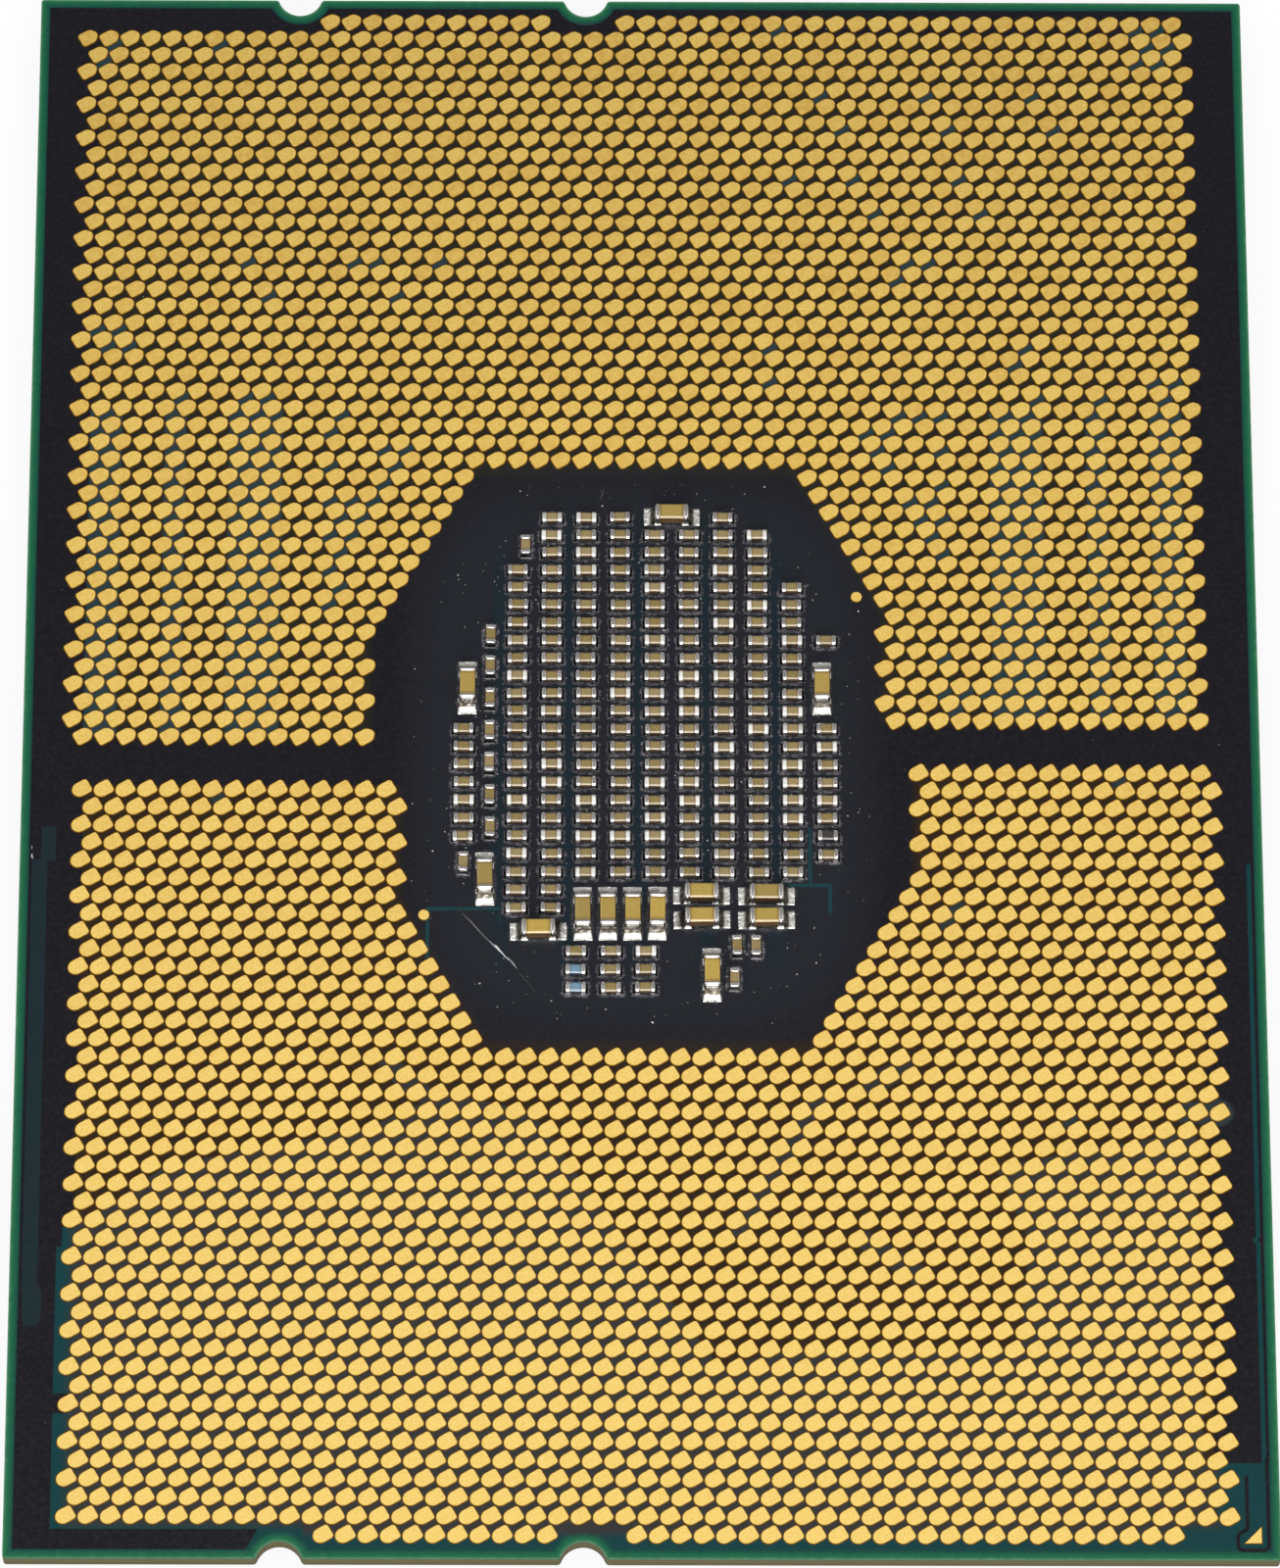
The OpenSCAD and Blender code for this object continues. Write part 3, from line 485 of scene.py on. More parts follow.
# Painted light: paler towards the bottom, and warmer towards the top by each land's random tone and
# blotches.
grain_and_painted_paling = calc(tree, "ADD", fine, ramped(tree, y, 10.0, -16.0, -0.08, 0.14))
base = mixed(tree, grain_and_painted_paling, srgb(GOLD), srgb(GOLD_PALE))
painted_warm_light_by_height = ramped(tree, y, -30.0, 36.0, 0.1, 0.8)
blotched = calc(tree, "MULTIPLY_ADD", blush, 0.7, 0.3)
warmth = calc(tree, "MULTIPLY", calc(tree, "MULTIPLY", tone, painted_warm_light_by_height), blotched)
base = mixed(tree, warmth, base, srgb(GOLD_WARM))
dulled = ramped(tree, calc(tree, "ABSOLUTE", y), 16.0, 38.0, 0.0, 0.06)
base = mixed(tree, dulled, base, srgb(GOLD_DULL))
# Painted shade: the sloping sides are dark bronze and not metallic.
sloped = add(tree, "ShaderNodeAttribute", attribute_name="band").outputs["Fac"]
tree.links.new(mixed(tree, sloped, base, srgb(BRONZE_SIDE_SHADE)), shader.inputs["Base Color"])
tree.links.new(calc(tree, "SUBTRACT", 1.0, sloped), shader.inputs["Metallic"])
shader.inputs["Specular IOR Level"].default_value = 0.0
roughened(tree, shader, fine, 0.54, 0.66, fine, 0.2, 0.01)

dice = random.Random(11)
for name, side, taper in (("upper_land_grid", 1, LAND_TAPER[0]), ("lower_land_grid", -1, LAND_TAPER[1])):
    verts, faces, slopes = plated(land_outline(0.0, taper), land_outline(LAND_FOOT, taper))
    turn = Matrix.Rotation(math.pi if side > 0 else 0.0, 4, "Z")
    spots = [Matrix.Translation((px, py, BOARD_TOP)) @ turn for px, py in land_places(side)]
    lands = join_copies(name, verts, faces, spots, [dice.random() for _ in spots], band=slopes)
    fit(lands, gold, "gold", "upper_lands" if side > 0 else "lower_lands")


# Gold marks: the triangle at the first-contact corner and two round alignment dots beside the cavity.
# They are plated with the lands, and their sloping edges get the same painted bronze shade.
MARK_CORNER = (27.4, -37.22)
MARK_SIDE = 0.73
DOT_PLACES = ((9.88, 7.79), (-9.88, -7.79))
DOT_R = 0.24
DOT_STEPS = 32
MARK_FOOT = 0.035


def triangle(out):
    reach = MARK_SIDE + out * (1 + math.sqrt(2))
    return [(-reach, -out), (out, -out), (out, reach)]


def disc(r):
    angles = [2 * math.pi * i / DOT_STEPS for i in range(DOT_STEPS)]
    return [(r * math.cos(a), r * math.sin(a)) for a in angles]


for name, node, top, foot, places in (
    ("corner_triangle", "corner_mark", triangle(0.0), triangle(MARK_FOOT), [MARK_CORNER]),
    ("alignment_dots", "fiducial_dots", disc(DOT_R), disc(DOT_R + MARK_FOOT), DOT_PLACES),
):
    verts, faces, slopes = plated(top, foot)
    spots = [Matrix.Translation((px, py, BOARD_TOP)) for px, py in places]
    fit(join_copies(name, verts, faces, spots, [0.0] * len(spots), band=slopes), gold, "gold", node)


# Chip capacitors: fired ceramic blocks, ochre and each a little different, two of them blue and one dark.
# They are placed by machine in columns under the die, and sit slightly askew where the solder set.
PITCH_X = 1.5735
PITCH_Y = 0.8695
FIRST_COLUMN = -5.69
SET_OFF_COLUMN = -8.11
UPRIGHT_COLUMN = -6.93
FIRST_ROW = 11.6
COLUMN_ROWS = (
    (12, 18), (3, 22), (0, 22), (0, 20), (0, 20), (1, 20), (1, 20), (0, 20), (1, 20), (4, 20), (12, 19),
)
LONE_ROW = 7
DARK_ROW = 18
UPRIGHT_FIRST = 5.81
UPRIGHT_SINGLES = ((-5.32, 10.2265), (-8.11, -5.286), (4.32, -9.315), (5.18, -9.315), (4.18, -10.895))
BLOCK_FIRST = (-2.97, -9.61)
BANK_FIRST = (-2.67, -7.715)
BANK_PITCH = 1.13
LARGE_UPRIGHT = ((-7.94, 3.251), (8.25, 3.251), (-7.14, -6.061), (3.2, -10.68))
QUAD_FIRST = (2.73, -6.85)
QUAD_PITCH = (2.945, 1.15)
LARGE_ACROSS = ((1.39, 11.73), (-4.663, -8.589))
SMALL = (0.95, 0.5, 0.38)
SMALL_CAP = 0.24
LARGE = (1.58, 0.78, 0.78)
LARGE_CAP = 0.3
SMALL_EDGE = 0.12
LARGE_EDGE = 0.14
SMALL_CAP_EDGE = 0.06
LARGE_CAP_EDGE = 0.145
CAP_SHADE = 0.04
SOLDER_T = 0.05
CAP_PROUD = 0.025
SKEW = 0.7
TILT = 2.0
ROLL = 0.6
SHIFT = 0.012
LARGE_LEAN = 0.3
EDGE_STEPS = 4
EDGE_LOOP_IN = 0.004
BODY_END_EDGE = 0.02
FLAT_NORMAL = 0.995
# Ceramic colours: two of the pores, then the hazed top and the painted shade of the sides and of the body
# beside the caps
OCHRE = ((116, 97, 42), (140, 121, 61), (151, 132, 91), (92, 62, 8))
BRIGHT_OCHRE = ((172, 142, 52), (190, 158, 66), (138, 118, 58), (92, 62, 8))
BLUE = ((95, 128, 148), (109, 142, 163), (103, 136, 157), (44, 58, 70))
DARK = ((42, 32, 30), (56, 46, 44), (50, 40, 38), (30, 24, 22))

dice = random.Random(5)


def column_x(column):
    return SET_OFF_COLUMN if column == 0 else FIRST_COLUMN + (column - 1) * PITCH_X


def chip(kind, px, py, upright=False):
    """A chip's kind, its place with a little skew and tilt, and its tone."""
    lean = LARGE_LEAN if kind == "large" else 1.0
    turn = math.radians((90 if upright else 0) + dice.gauss(0, SKEW))
    tilt = Matrix.Rotation(math.radians(dice.gauss(0, TILT) * lean), 4, "X")
    roll = Matrix.Rotation(math.radians(dice.gauss(0, ROLL) * lean), 4, "Y")
    spot = Matrix.Translation((px + dice.gauss(0, SHIFT), py + dice.gauss(0, SHIFT), BOARD_TOP))
    tone = dice.random() * (1.0 if kind in ("small", "large") else 0.3)
    return kind, spot @ Matrix.Rotation(turn, 4, "Z") @ tilt @ roll, tone


chips = []
for column, (first, last) in enumerate(COLUMN_ROWS):
    rows = list(range(first, last + 1)) + ([LONE_ROW] if column == 10 else [])
    for row in rows:
        kind = "dark" if column == 10 and row == DARK_ROW else "small"
        chips.append(chip(kind, column_x(column), FIRST_ROW - row * PITCH_Y))
for i in range(7):
    chips.append(chip("small", UPRIGHT_COLUMN, UPRIGHT_FIRST - i * PITCH_X, True))
for px, py in UPRIGHT_SINGLES:
    chips.append(chip("small", px, py, True))
for i in range(3):
    for j in range(3):
        kind = "blue" if i == 0 and j > 0 else "small"
        chips.append(chip(kind, BLOCK_FIRST[0] + i * PITCH_X, BLOCK_FIRST[1] - j * PITCH_Y))
for i in range(4):
    chips.append(chip("large", BANK_FIRST[0] + i * BANK_PITCH, BANK_FIRST[1], True))
for px, py in LARGE_UPRIGHT:
    chips.append(chip("large", px, py, True))
for i in range(2):
    for j in range(2):
        chips.append(chip("large", QUAD_FIRST[0] + i * QUAD_PITCH[0], QUAD_FIRST[1] - j * QUAD_PITCH[1]))
for px, py in LARGE_ACROSS:
    chips.append(chip("large", px, py))


def of_kind(*kinds):
    """Places and tones of the chips of these kinds."""
    found = [(place, tone) for kind, place, tone in chips if kind in kinds]
    return [place for place, _ in found], [tone for _, tone in found]


def rounded_brick(size, low, edges, loops=()):
    """A brick with rounded ends and sides and more edge loops: vertices, faces, smoothness."""
    along, across = edges
    stretch = across / along
    form = bmesh.new()
    bmesh.ops.create_cube(form, size=1.0)
    for v in form.verts:
        v.co = [v.co.x * size[0] * stretch, v.co.y * size[1], low + (v.co.z + 0.5) * size[2]]
    bmesh.ops.bevel(
        form, geom=form.edges[:], offset=across, segments=EDGE_STEPS, profile=0.5, affect="EDGES"
    )
    for v in form.verts:
        v.co.x /= stretch
    for at in (along - size[0] / 2 + EDGE_LOOP_IN, size[0] / 2 - along - EDGE_LOOP_IN, *loops):
        whole = form.verts[:] + form.edges[:] + form.faces[:]
        bmesh.ops.bisect_plane(form, geom=whole, plane_co=(at, 0, 0), plane_no=(1, 0, 0))
    form.normal_update()
    points = sorted(form.verts, key=lambda v: [round(c, 6) for c in v.co])
    for i, v in enumerate(points):
        v.index = i
    sides = []
    for f in form.faces:
        ring = [v.index for v in f.verts]
        first = ring.index(min(ring))
        sides.append((ring[first:] + ring[:first], max(abs(c) for c in f.normal) < FLAT_NORMAL))
    sides.sort()
    verts = [v.co.copy() for v in points]
    form.free()
    return verts, [ring for ring, _ in sides], [smooth for _, smooth in sides]


def ceramic_finish(name, dark, light, hazed, side_shade):
    material, tree, shader = new_finish(name)
    place = place_mm(tree)[0]
    tone = add(tree, "ShaderNodeAttribute", attribute_name="tone").outputs["Fac"]
    pores = grained(tree, place, 22.0, 2.5)
    base = mixed(tree, pores, srgb(dark), srgb(light))
    base = mixed(tree, calc(tree, "MULTIPLY", tone, 0.9), base, srgb(hazed))
    facing = add(tree, "ShaderNodeNewGeometry").outputs["Normal"]
    upward = add(tree, "ShaderNodeSeparateXYZ", {0: facing}).outputs[2]
    # Painted shade: the sides below the rounded top edge, and a band of the body beside each cap, take the
    # darker brown.
    painted_shade_by_cap = add(tree, "ShaderNodeAttribute", attribute_name="band").outputs["Fac"]
    painted_shade = calc(tree, "MAXIMUM", ramped(tree, upward, 0.66, 0.5), calc(tree, "MULTIPLY", painted_shade_by_cap, 0.45))
    tree.links.new(mixed(tree, painted_shade, base, srgb(side_shade)), shader.inputs["Base Color"])
    shader.inputs["Coat Weight"].default_value = 1.0
    shader.inputs["Coat Roughness"].default_value = 0.1
    shader.inputs["Coat IOR"].default_value = 1.7
    roughened(tree, shader, pores, 0.2, 0.34, pores, 0.1, 0.004)
    return material


ochre = ceramic_finish("ochre_ceramic", *OCHRE)
bright_ochre = ceramic_finish("bright_ochre_ceramic", *BRIGHT_OCHRE)
SMALL_GROUPS = [f"column_{c}" for c in range(11)] + ["upright", "block"]
LARGE_GROUPS = ["large_upright", "large_across"]
for name, size, cap, edge, kinds, material, slot, nodes in (
    ("capacitor_ceramics", SMALL, SMALL_CAP, SMALL_EDGE, ["small"], ochre,
        "ceramic", [f"{g}_capacitors" for g in SMALL_GROUPS]),
    ("large_capacitor_ceramics", LARGE, LARGE_CAP, LARGE_EDGE, ["large"], bright_ochre,
        "ceramic", [f"{g}_capacitors" for g in LARGE_GROUPS]),
    ("blue_chip_ceramics", SMALL, SMALL_CAP, SMALL_EDGE, ["blue"], ceramic_finish("blue_ceramic", *BLUE),
        "blue_ceramic", ["blue_chips"]),
    ("dark_chip_ceramic", SMALL, SMALL_CAP, SMALL_EDGE, ["dark"], ceramic_finish("dark_ceramic", *DARK),
        "dark_ceramic", ["dark_chip"]),
):
    body = (size[0] - cap, size[1] - 2 * CAP_PROUD, size[2] - 2 * CAP_PROUD)
    bare = size[0] / 2 - cap - CAP_SHADE
    edges = (BODY_END_EDGE, edge - CAP_PROUD)
    verts, faces, smooth = rounded_brick(body, SOLDER_T + CAP_PROUD, edges, (-bare, bare))
    painted_shade_by_cap = [1.0 if abs(sum(verts[i].x for i in f)) > bare * len(f) else 0.0 for f in faces]
    places, tones = of_kind(*kinds)
    fit(join_copies(name, verts, faces, places, tones, smooth, painted_shade_by_cap), material, slot, *nodes)


# End caps: the chips' metal ends, dipped and fired, then plated with nickel and tin.
# Dipping leaves them round at every edge, and the near edges catch the light as white lines.
TIN = (228, 224, 220)
TIN_DULL = (202, 197, 196)
TIN_MATT = (250, 248, 244)

tin, tree, shader = new_finish("bright_tin")
place = place_mm(tree)[0]
tone = add(tree, "ShaderNodeAttribute", attribute_name="tone").outputs["Fac"]
frost = grained(tree, place, 14.0, 2.5)
matt = ramped(tree, tone, 0.72, 0.86)
base = mixed(tree, frost, srgb(TIN), srgb(TIN_DULL))
tree.links.new(mixed(tree, matt, base, srgb(TIN_MATT)), shader.inputs["Base Color"])
shader.inputs["Metallic"].default_value = 1.0
hazy = calc(tree, "MULTIPLY_ADD", matt, 0.75, calc(tree, "MULTIPLY", frost, 0.25))
roughened(tree, shader, hazy, 0.18, 0.62, frost, 0.2, 0.008)
for name, size, cap, edges, most_tone, kinds, groups in (
    ("capacitor_end_caps", SMALL, SMALL_CAP, (SMALL_CAP_EDGE, SMALL_EDGE), 1.0,
        ["small", "blue", "dark"], SMALL_GROUPS),
    ("large_capacitor_end_caps", LARGE, LARGE_CAP, (LARGE_CAP_EDGE, LARGE_EDGE), 0.7,
        ["large"], LARGE_GROUPS),
):
    places, tones = of_kind(*kinds)
    tones = [tone * most_tone for tone in tones]
    verts, faces, smooth = rounded_brick((cap, size[1], size[2]), SOLDER_T, edges)
    verts = [v + Vector(((size[0] - cap) / 2, 0, 0)) for v in verts]
    both = places + [p @ Matrix.Rotation(math.pi, 4, "Z") for p in places]
    caps = join_copies(name, verts, faces, both, tones + tones, smooth)
    fit(caps, tin, "tin", *[f"{g}_end_caps" for g in groups])


# Solder: the joints that hold the chips, melted from printed paste and set in hollow curves.
# Each rises from its pad against an end cap; the large chips' pads stay bare and bright beyond it.
SMALL_TOE = 0.12
SMALL_CLIMB = 0.18
LARGE_TOE = 0.495
LARGE_CLIMB = 0.34
SOLDER_TOE_T = 0.035
SOLDER_TOE_ROUND = 0.04
SOLDER_UNDER_CAP = 0.02
SOLDER_HOLLOW = 2.6
SOLDER_STEPS = 6
SOLDER_WIDTHS = (-1.0, -0.86, -0.5, 0.0, 0.5, 0.86, 1.0)
SOLDER_RIM = 0.3
SMALL_PAD_W = 0.5
LARGE_PAD_W = 0.84
SMALL_DULL = (0.038, 0.085)
LARGE_DULL = (0.08, 0.16)
BRIGHT_SOLDER = ((246, 244, 238), (74, 64, 48))
DARK_SOLDER = ((112, 109, 112), (52, 50, 53))


def solder_fillet(size, cap, toe, climb, width):
    """A hollow-curved joint at a chip's +X end, closed below: vertices and faces."""
    face = size[0] / 2
    run = [face - cap, face - SOLDER_UNDER_CAP]
    rise = [SOLDER_T, SOLDER_T]
    for i in range(SOLDER_STEPS + 1):
        run.append(face + toe * i / SOLDER_STEPS)
        hollow = (1 - i / SOLDER_STEPS) ** SOLDER_HOLLOW
        rise.append(SOLDER_TOE_T + (SOLDER_T + climb - SOLDER_TOE_T) * hollow)
    verts = []
    for k, (px, lift) in enumerate(zip(run, rise)):
        for s in SOLDER_WIDTHS:
            inset = SOLDER_TOE_ROUND * s * s if k == len(run) - 1 else 0.0
            edge = SOLDER_RIM if abs(s) == 1.0 else 1.0
            verts.append((px - inset, s * width / 2, lift * edge))
    across = len(SOLDER_WIDTHS)
    for px in run:
        verts.extend([(px, -width / 2, 0.0), (px, width / 2, 0.0)])
    base = len(run) * across
    faces = []
    for k in range(len(run) - 1):
        for s in range(across - 1):
            a = k * across + s
            faces.append([a, a + across, a + across + 1, a + 1])
        b = base + 2 * k
        faces.append([b, b + 1, b + 3, b + 2])
        faces.append([k * across, b, b + 2, (k + 1) * across])
        faces.append([k * across + across - 1, (k + 1) * across + across - 1, b + 3, b + 1])
    faces.append([*range(across), base + 1, base])
    last = base - across
    faces.append([*range(base - 1, last - 1, -1), len(verts) - 2, len(verts) - 1])
    return verts, faces


for name, (bright, dull), (low, high), size, cap, toe, climb, width, kinds, groups in (
    ("capacitor_solder", DARK_SOLDER, SMALL_DULL, SMALL, SMALL_CAP,
        SMALL_TOE, SMALL_CLIMB, SMALL_PAD_W, ["small", "blue", "dark"], SMALL_GROUPS),
    ("large_capacitor_solder", BRIGHT_SOLDER, LARGE_DULL, LARGE, LARGE_CAP,
        LARGE_TOE, LARGE_CLIMB, LARGE_PAD_W, ["large"], LARGE_GROUPS),
):
    solder, tree, shader = new_finish(name + "_finish")
    place, x, y, z = place_mm(tree)
    clots = grained(tree, place, 5.0, 5.0)
    climbed = ramped(tree, z, BOARD_TOP + low, BOARD_TOP + high, 0.0, 0.78)
    dulled = calc(tree, "MULTIPLY_ADD", clots, 0.2, climbed)
    colour = mixed(tree, dulled, srgb(bright), srgb(dull))
    tree.links.new(colour, shader.inputs["Base Color"])
    shader.inputs["Metallic"].default_value = 1.0
    roughened(tree, shader, clots, 0.25, 0.45, clots, 0.5, 0.03)
    places, tones = of_kind(*kinds)
    verts, faces = solder_fillet(size, cap, toe, climb, width)
    level = [Matrix.Translation(p.translation) @ Matrix.Rotation(p.to_euler().z, 4, "Z") for p in places]
    both = level + [p @ Matrix.Rotation(math.pi, 4, "Z") for p in level]
    joints = join_copies(name, verts, faces, both, tones + tones)
    fit(joints, solder, "solder", *[f"{g}_solder" for g in groups])


# Marks of making and handling: flux left round the joints, a long pale scratch, nicks and specks of dust.
# The flux is a thin glassy film, the scratch is where the mask's skin was raised, the specks lie loose.
FILM_RINGS = ((0.5, 0.01), (0.8, 0.006), (1.0, 0.001))
FILM_STEPS = 28
FILM_WOBBLE = (0.86, 1.06)
FILM_PAST = (0.1, 0.17)
FILM_SQUARE = 5
FILM_DARK = (32, 30, 33)
FILM_LIGHT = (96, 92, 99)
FILM_PAINTED_GLINT = (176, 174, 176)
LARGE_FILM_IN_PAINTED_SHADE = 0.35
FILM_IN_PAINTED_CONTACT_SHADOW = 0.1
SCRATCHES = (
    ((-8.15, -7.68), (-6.5, -9.5), 0.075, 0.14),
    ((-6.9, -9.02), (-6.0, -9.98), 0.07, 0.8),
    ((-6.66, -9.2), (-6.25, -9.72), 0.1, 1.0),
    ((-6.1, -9.8), (-5.62, -10.38), 0.08, 0.35),
    ((-5.6, -10.45), (-4.75, -11.6), 0.03, 0.05),
    ((-1.95, 12.45), (-1.7, 13.2), 0.03, 0.1),
    ((-27.72, -4.5), (-27.7, -4.66), 0.05, 0.8),
    ((-27.71, -4.86), (-27.67, -5.12), 0.07, 0.9),
)
RAISED_DARK = (58, 60, 64)
RAISED_WHITE = (232, 232, 230)
SCRATCH_STEPS = 8
SCRATCH_LIFT = (0.002, 0.006)
SCRATCH_RAGGED = (0.6, 1.0)
SCRATCH_WANDER = 0.02
SPECKS = 420
SPECK_X = (-10.5, 10.5)
SPECK_Y = (-13.0, 13.5)
SPECK_SLOPE = (14.5, 0.62)
SPECK_SIZE = (0.014, 0.03)

film, tree, shader = new_finish("flux_film")
place = place_mm(tree)[0]
drawn = add(tree, "ShaderNodeMapping", {"Vector": place, "Scale": (0.45, 1.0, 1.0)}).outputs[0]
streak = grained(tree, drawn, 9.0, 5.0)
# Painted highlights: sparse pale specks in the film's colour stand for glints.
painted_glint_noise = grained(tree, place, 14.0, 12.0)
fade = add(tree, "ShaderNodeAttribute", attribute_name="fade").outputs["Fac"]
base = mixed(tree, streak, srgb(FILM_DARK), srgb(FILM_LIGHT))
painted_glints = calc(tree, "MULTIPLY", ramped(tree, painted_glint_noise, 0.8, 1.0), 0.6)
base = mixed(tree, painted_glints, base, srgb(FILM_PAINTED_GLINT))
tree.links.new(mixed(tree, fade, srgb(SLATE), base), shader.inputs["Base Color"])
shader.inputs["Specular IOR Level"].default_value = 0.25
roughened(tree, shader, streak, 0.15, 0.4, streak, 0.5, 0.02)

dice = random.Random(23)
verts, faces, fades = [], [], []
for kind, place, tone in chips:
    size, toe = (LARGE, LARGE_TOE) if kind == "large" else (SMALL, SMALL_TOE)
    reach = (size[0] / 2 + toe + FILM_PAST[0], size[1] / 2 + FILM_PAST[1])
    level = Matrix.Translation(place.translation) @ Matrix.Rotation(place.to_euler().z, 4, "Z")
    first = len(verts)
    wobble = [dice.uniform(*FILM_WOBBLE) for _ in range(FILM_STEPS)]
    verts.append(level @ Vector((0, 0, FILM_RINGS[0][1])))
    for scale, lift in FILM_RINGS:
        for i in range(FILM_STEPS):
            a = 2 * math.pi * i / FILM_STEPS
            c, s = math.cos(a), math.sin(a)
            box = (abs(c) ** FILM_SQUARE + abs(s) ** FILM_SQUARE) ** (-1 / FILM_SQUARE) * scale
            if scale > FILM_RINGS[0][0]:
                box *= wobble[i]
            verts.append(level @ Vector((reach[0] * box * c, reach[1] * box * s, lift)))
    for i in range(FILM_STEPS):
        j = (i + 1) % FILM_STEPS
        faces.append([first, first + 1 + i, first + 1 + j])
        for ring in range(len(FILM_RINGS) - 1):
            a = first + 1 + ring * FILM_STEPS
            faces.append([a + i, a + FILM_STEPS + i, a + FILM_STEPS + j, a + j])
    # Painted shade: next to each chip the film is kept mostly slate as a contact shadow, and round the
    # large chips it stays faint so that the dark between them shows.
    rim = (LARGE_FILM_IN_PAINTED_SHADE if kind == "large" else 1.0) / (FILM_WOBBLE[1] - FILM_WOBBLE[0])
    fades += [FILM_IN_PAINTED_CONTACT_SHADOW] * (1 + FILM_STEPS)
    fades += [rim * (w - FILM_WOBBLE[0]) for w in wobble] + [0.0] * FILM_STEPS
flux = join_copies("flux_residue", verts, faces, [Matrix.Identity(4)], [0.5], [True] * len(faces))
flux.data.attributes.new("fade", "FLOAT", "POINT").data.foreach_set("value", fades)
fit(flux, film, "solder")

pale, tree, shader = new_finish("pale_dust")
place = place_mm(tree)[0]
shade = grained(tree, place, 12.0, 3.0)
tone = add(tree, "ShaderNodeAttribute", attribute_name="tone").outputs["Fac"]
raised = calc(tree, "MULTIPLY", tone, calc(tree, "MULTIPLY_ADD", shade, 0.4, 0.6))
tree.links.new(mixed(tree, raised, srgb(RAISED_DARK), srgb(RAISED_WHITE)), shader.inputs["Base Color"])
roughened(tree, shader, shade, 0.5, 0.8)
verts, faces, whiteness = [], [], []
for (ax, ay), (bx, by), width, white in SCRATCHES:
    run = Vector((bx - ax, by - ay, 0.0))
    side = Vector((-run.y, run.x, 0.0)).normalized()
    first = len(verts)
    for i in range(SCRATCH_STEPS + 1):
        t = i / SCRATCH_STEPS
        half = width / 2 * math.sin(math.pi * (0.04 + 0.92 * t)) * dice.uniform(*SCRATCH_RAGGED)
        aside = side * dice.uniform(-SCRATCH_WANDER, SCRATCH_WANDER)
        middle = Vector((ax, ay, BOARD_TOP + SCRATCH_LIFT[0])) + run * t + aside
        crest = middle + Vector((0, 0, SCRATCH_LIFT[1]))
        verts.extend([middle - side * half, crest, middle + side * half])
    for i in range(SCRATCH_STEPS):
        for k in (0, 1):
            a = first + 3 * i + k
            faces.append([a, a + 3, a + 4, a + 1])
            whiteness.append(white)
scratch = join_copies("mask_scratches", verts, faces, [Matrix.Identity(4)], [0.5])
scratch.data.attributes["tone"].data.foreach_set("value", whiteness)
fit(scratch, pale, "masked_copper")

form = bmesh.new()
bmesh.ops.create_icosphere(form, subdivisions=1, radius=1.0)
speck_verts = [v.co.copy() for v in form.verts]
speck_faces = [[v.index for v in f.verts] for f in form.faces]
form.free()
spots = []
while len(spots) < SPECKS:
    px, py = dice.uniform(*SPECK_X), dice.uniform(*SPECK_Y)
    if abs(px) + SPECK_SLOPE[1] * abs(py) < SPECK_SLOPE[0]:
        size = SPECK_SIZE[0] + SPECK_SIZE[1] * dice.random() ** 2.5
        stretch = Matrix.Diagonal((size * dice.uniform(0.7, 1.8), size, size * 0.6, 1.0))
        turn = Matrix.Rotation(dice.uniform(0, 3.1), 4, "Z")
        spots.append(Matrix.Translation((px, py, BOARD_TOP + size * 0.4)) @ turn @ stretch)
dust_specks = join_copies("dust_specks", speck_verts, speck_faces, spots, [dice.random() for _ in spots])
fit(dust_specks, pale, "masked_copper")


# Studio: a plain white floor, a soft lamp above, a tall one in front, two weak side ones and a dim sky.
# The camera stands where the photograph was taken, solved from the grid of lands.
FLOOR_CORNERS = ((-1.5, -1.5), (1.5, -1.5), (1.5, 1.5), (-1.5, 1.5))
FLOOR_DROP = 0.02
PAPER = ((248, 248, 248), (251, 251, 251))
FOCAL_PX = 9089.18
PHOTO_LONG_SIDE = 1600
CAMERA_FROM = (-3.4984, -144.5257, 384.4885)
CAMERA_AXES = (
    (0.9999613, -0.0006224, 0.0087808),
    (-0.0025110, 0.9358865, 0.3522927),
    (-0.0084371, -0.3523011, 0.9358487),
)
LAMPS = (
    ("top_lamp", (0.0, -0.16, 0.52), (0.36, 0.36), 1.45),
    ("front_lamp", (0.0, -0.55, 0.27), (0.32, 0.54), 3.0),
    ("left_lamp", (-0.50, 0.05, 0.36), (0.40, 0.40), 0.52),
    ("right_lamp", (0.50, 0.0, 0.36), (0.40, 0.40), 0.52),
)
SKY_STRENGTH = 0.31
WHITE_SHARE = 0.86

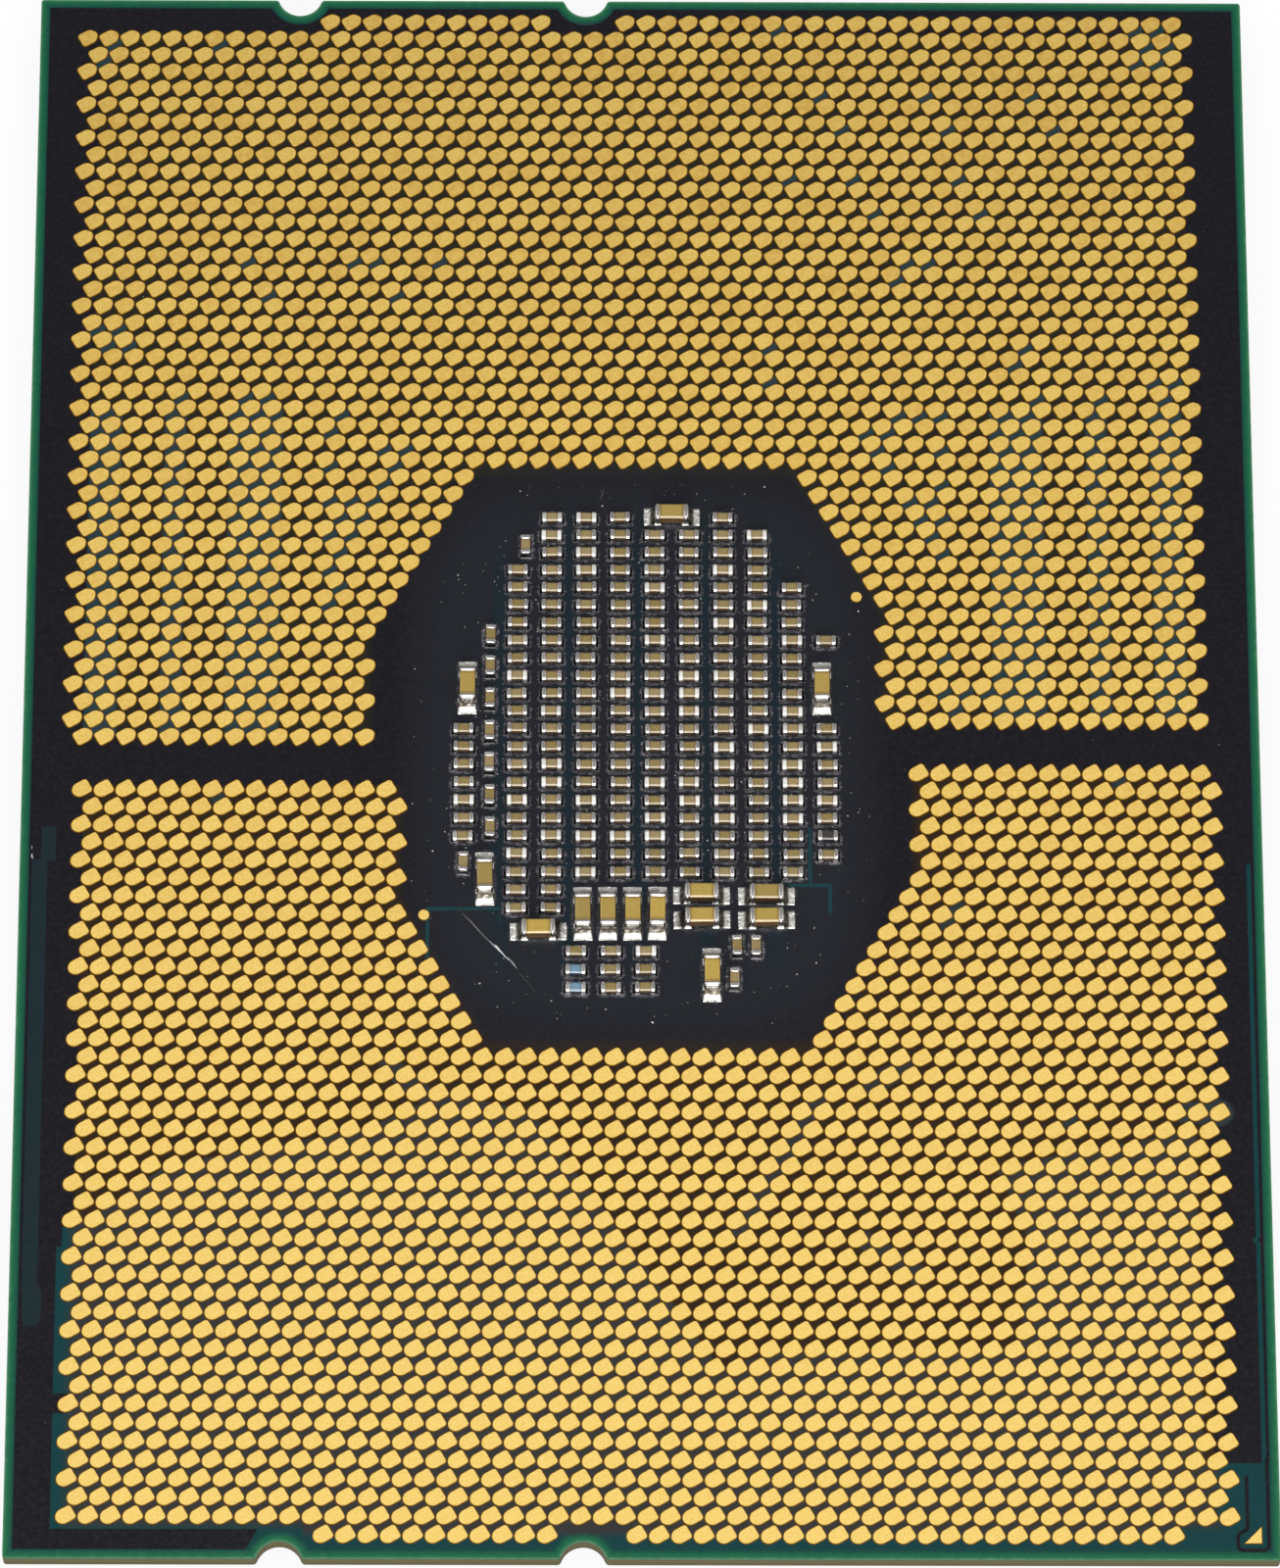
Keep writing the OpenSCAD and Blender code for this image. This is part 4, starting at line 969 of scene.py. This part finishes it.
mesh = bpy.data.meshes.new("floor")
mesh.from_pydata([(*corner, -FLOOR_DROP * MM) for corner in FLOOR_CORNERS], [], [(0, 1, 2, 3)])
floor = bpy.data.objects.new("floor", mesh)
bpy.context.scene.collection.objects.link(floor)
paper, tree, shader = new_finish("white_paper")
place = place_mm(tree)[0]
cloud = grained(tree, place, 0.05)
tree.links.new(mixed(tree, cloud, *map(srgb, PAPER)), shader.inputs["Base Color"])
shader.inputs["Roughness"].default_value = 0.9
shader.inputs["Specular IOR Level"].default_value = 0.0
glow = add(tree, "ShaderNodeEmission", {"Strength": 1.0})
rays = add(tree, "ShaderNodeLightPath").outputs
mirrored = calc(tree, "MAXIMUM", rays["Is Glossy Ray"], rays["Is Transmission Ray"])
white = calc(tree, "MULTIPLY", calc(tree, "MAXIMUM", rays["Is Camera Ray"], mirrored), WHITE_SHARE)
blend = add(tree, "ShaderNodeMixShader", {0: white, 1: shader.outputs[0], 2: glow.outputs[0]})
tree.links.new(blend.outputs[0], tree.nodes["Material Output"].inputs[0])
floor.data.materials.append(paper)

for name, at, size, power in LAMPS:
    lamp = bpy.data.lights.new(name, "AREA")
    lamp.shape = "RECTANGLE"
    lamp.size, lamp.size_y = size
    lamp.energy = power
    holder = bpy.data.objects.new(name, lamp)
    holder.location = at
    holder.rotation_euler = (-Vector(at)).to_track_quat("-Z", "Y").to_euler()
    bpy.context.scene.collection.objects.link(holder)

sky = bpy.data.worlds.new("sky")
sky.use_nodes = True
sky.node_tree.nodes["Background"].inputs["Color"].default_value = (1.0, 1.0, 1.0, 1.0)
sky.node_tree.nodes["Background"].inputs["Strength"].default_value = SKY_STRENGTH
bpy.context.scene.world = sky

lens = bpy.data.cameras.new("camera")
lens.sensor_fit = "AUTO"
lens.sensor_width = 36.0
lens.lens = FOCAL_PX * lens.sensor_width / PHOTO_LONG_SIDE
lens.clip_start = 0.01
lens.clip_end = 10.0
camera = bpy.data.objects.new("camera", lens)
aim = Matrix(CAMERA_AXES).transposed().to_4x4()
camera.matrix_world = Matrix.Translation(Vector(CAMERA_FROM) * MM) @ aim
bpy.context.scene.collection.objects.link(camera)
bpy.context.scene.camera = camera
bpy.context.scene.view_settings.view_transform = "Standard"
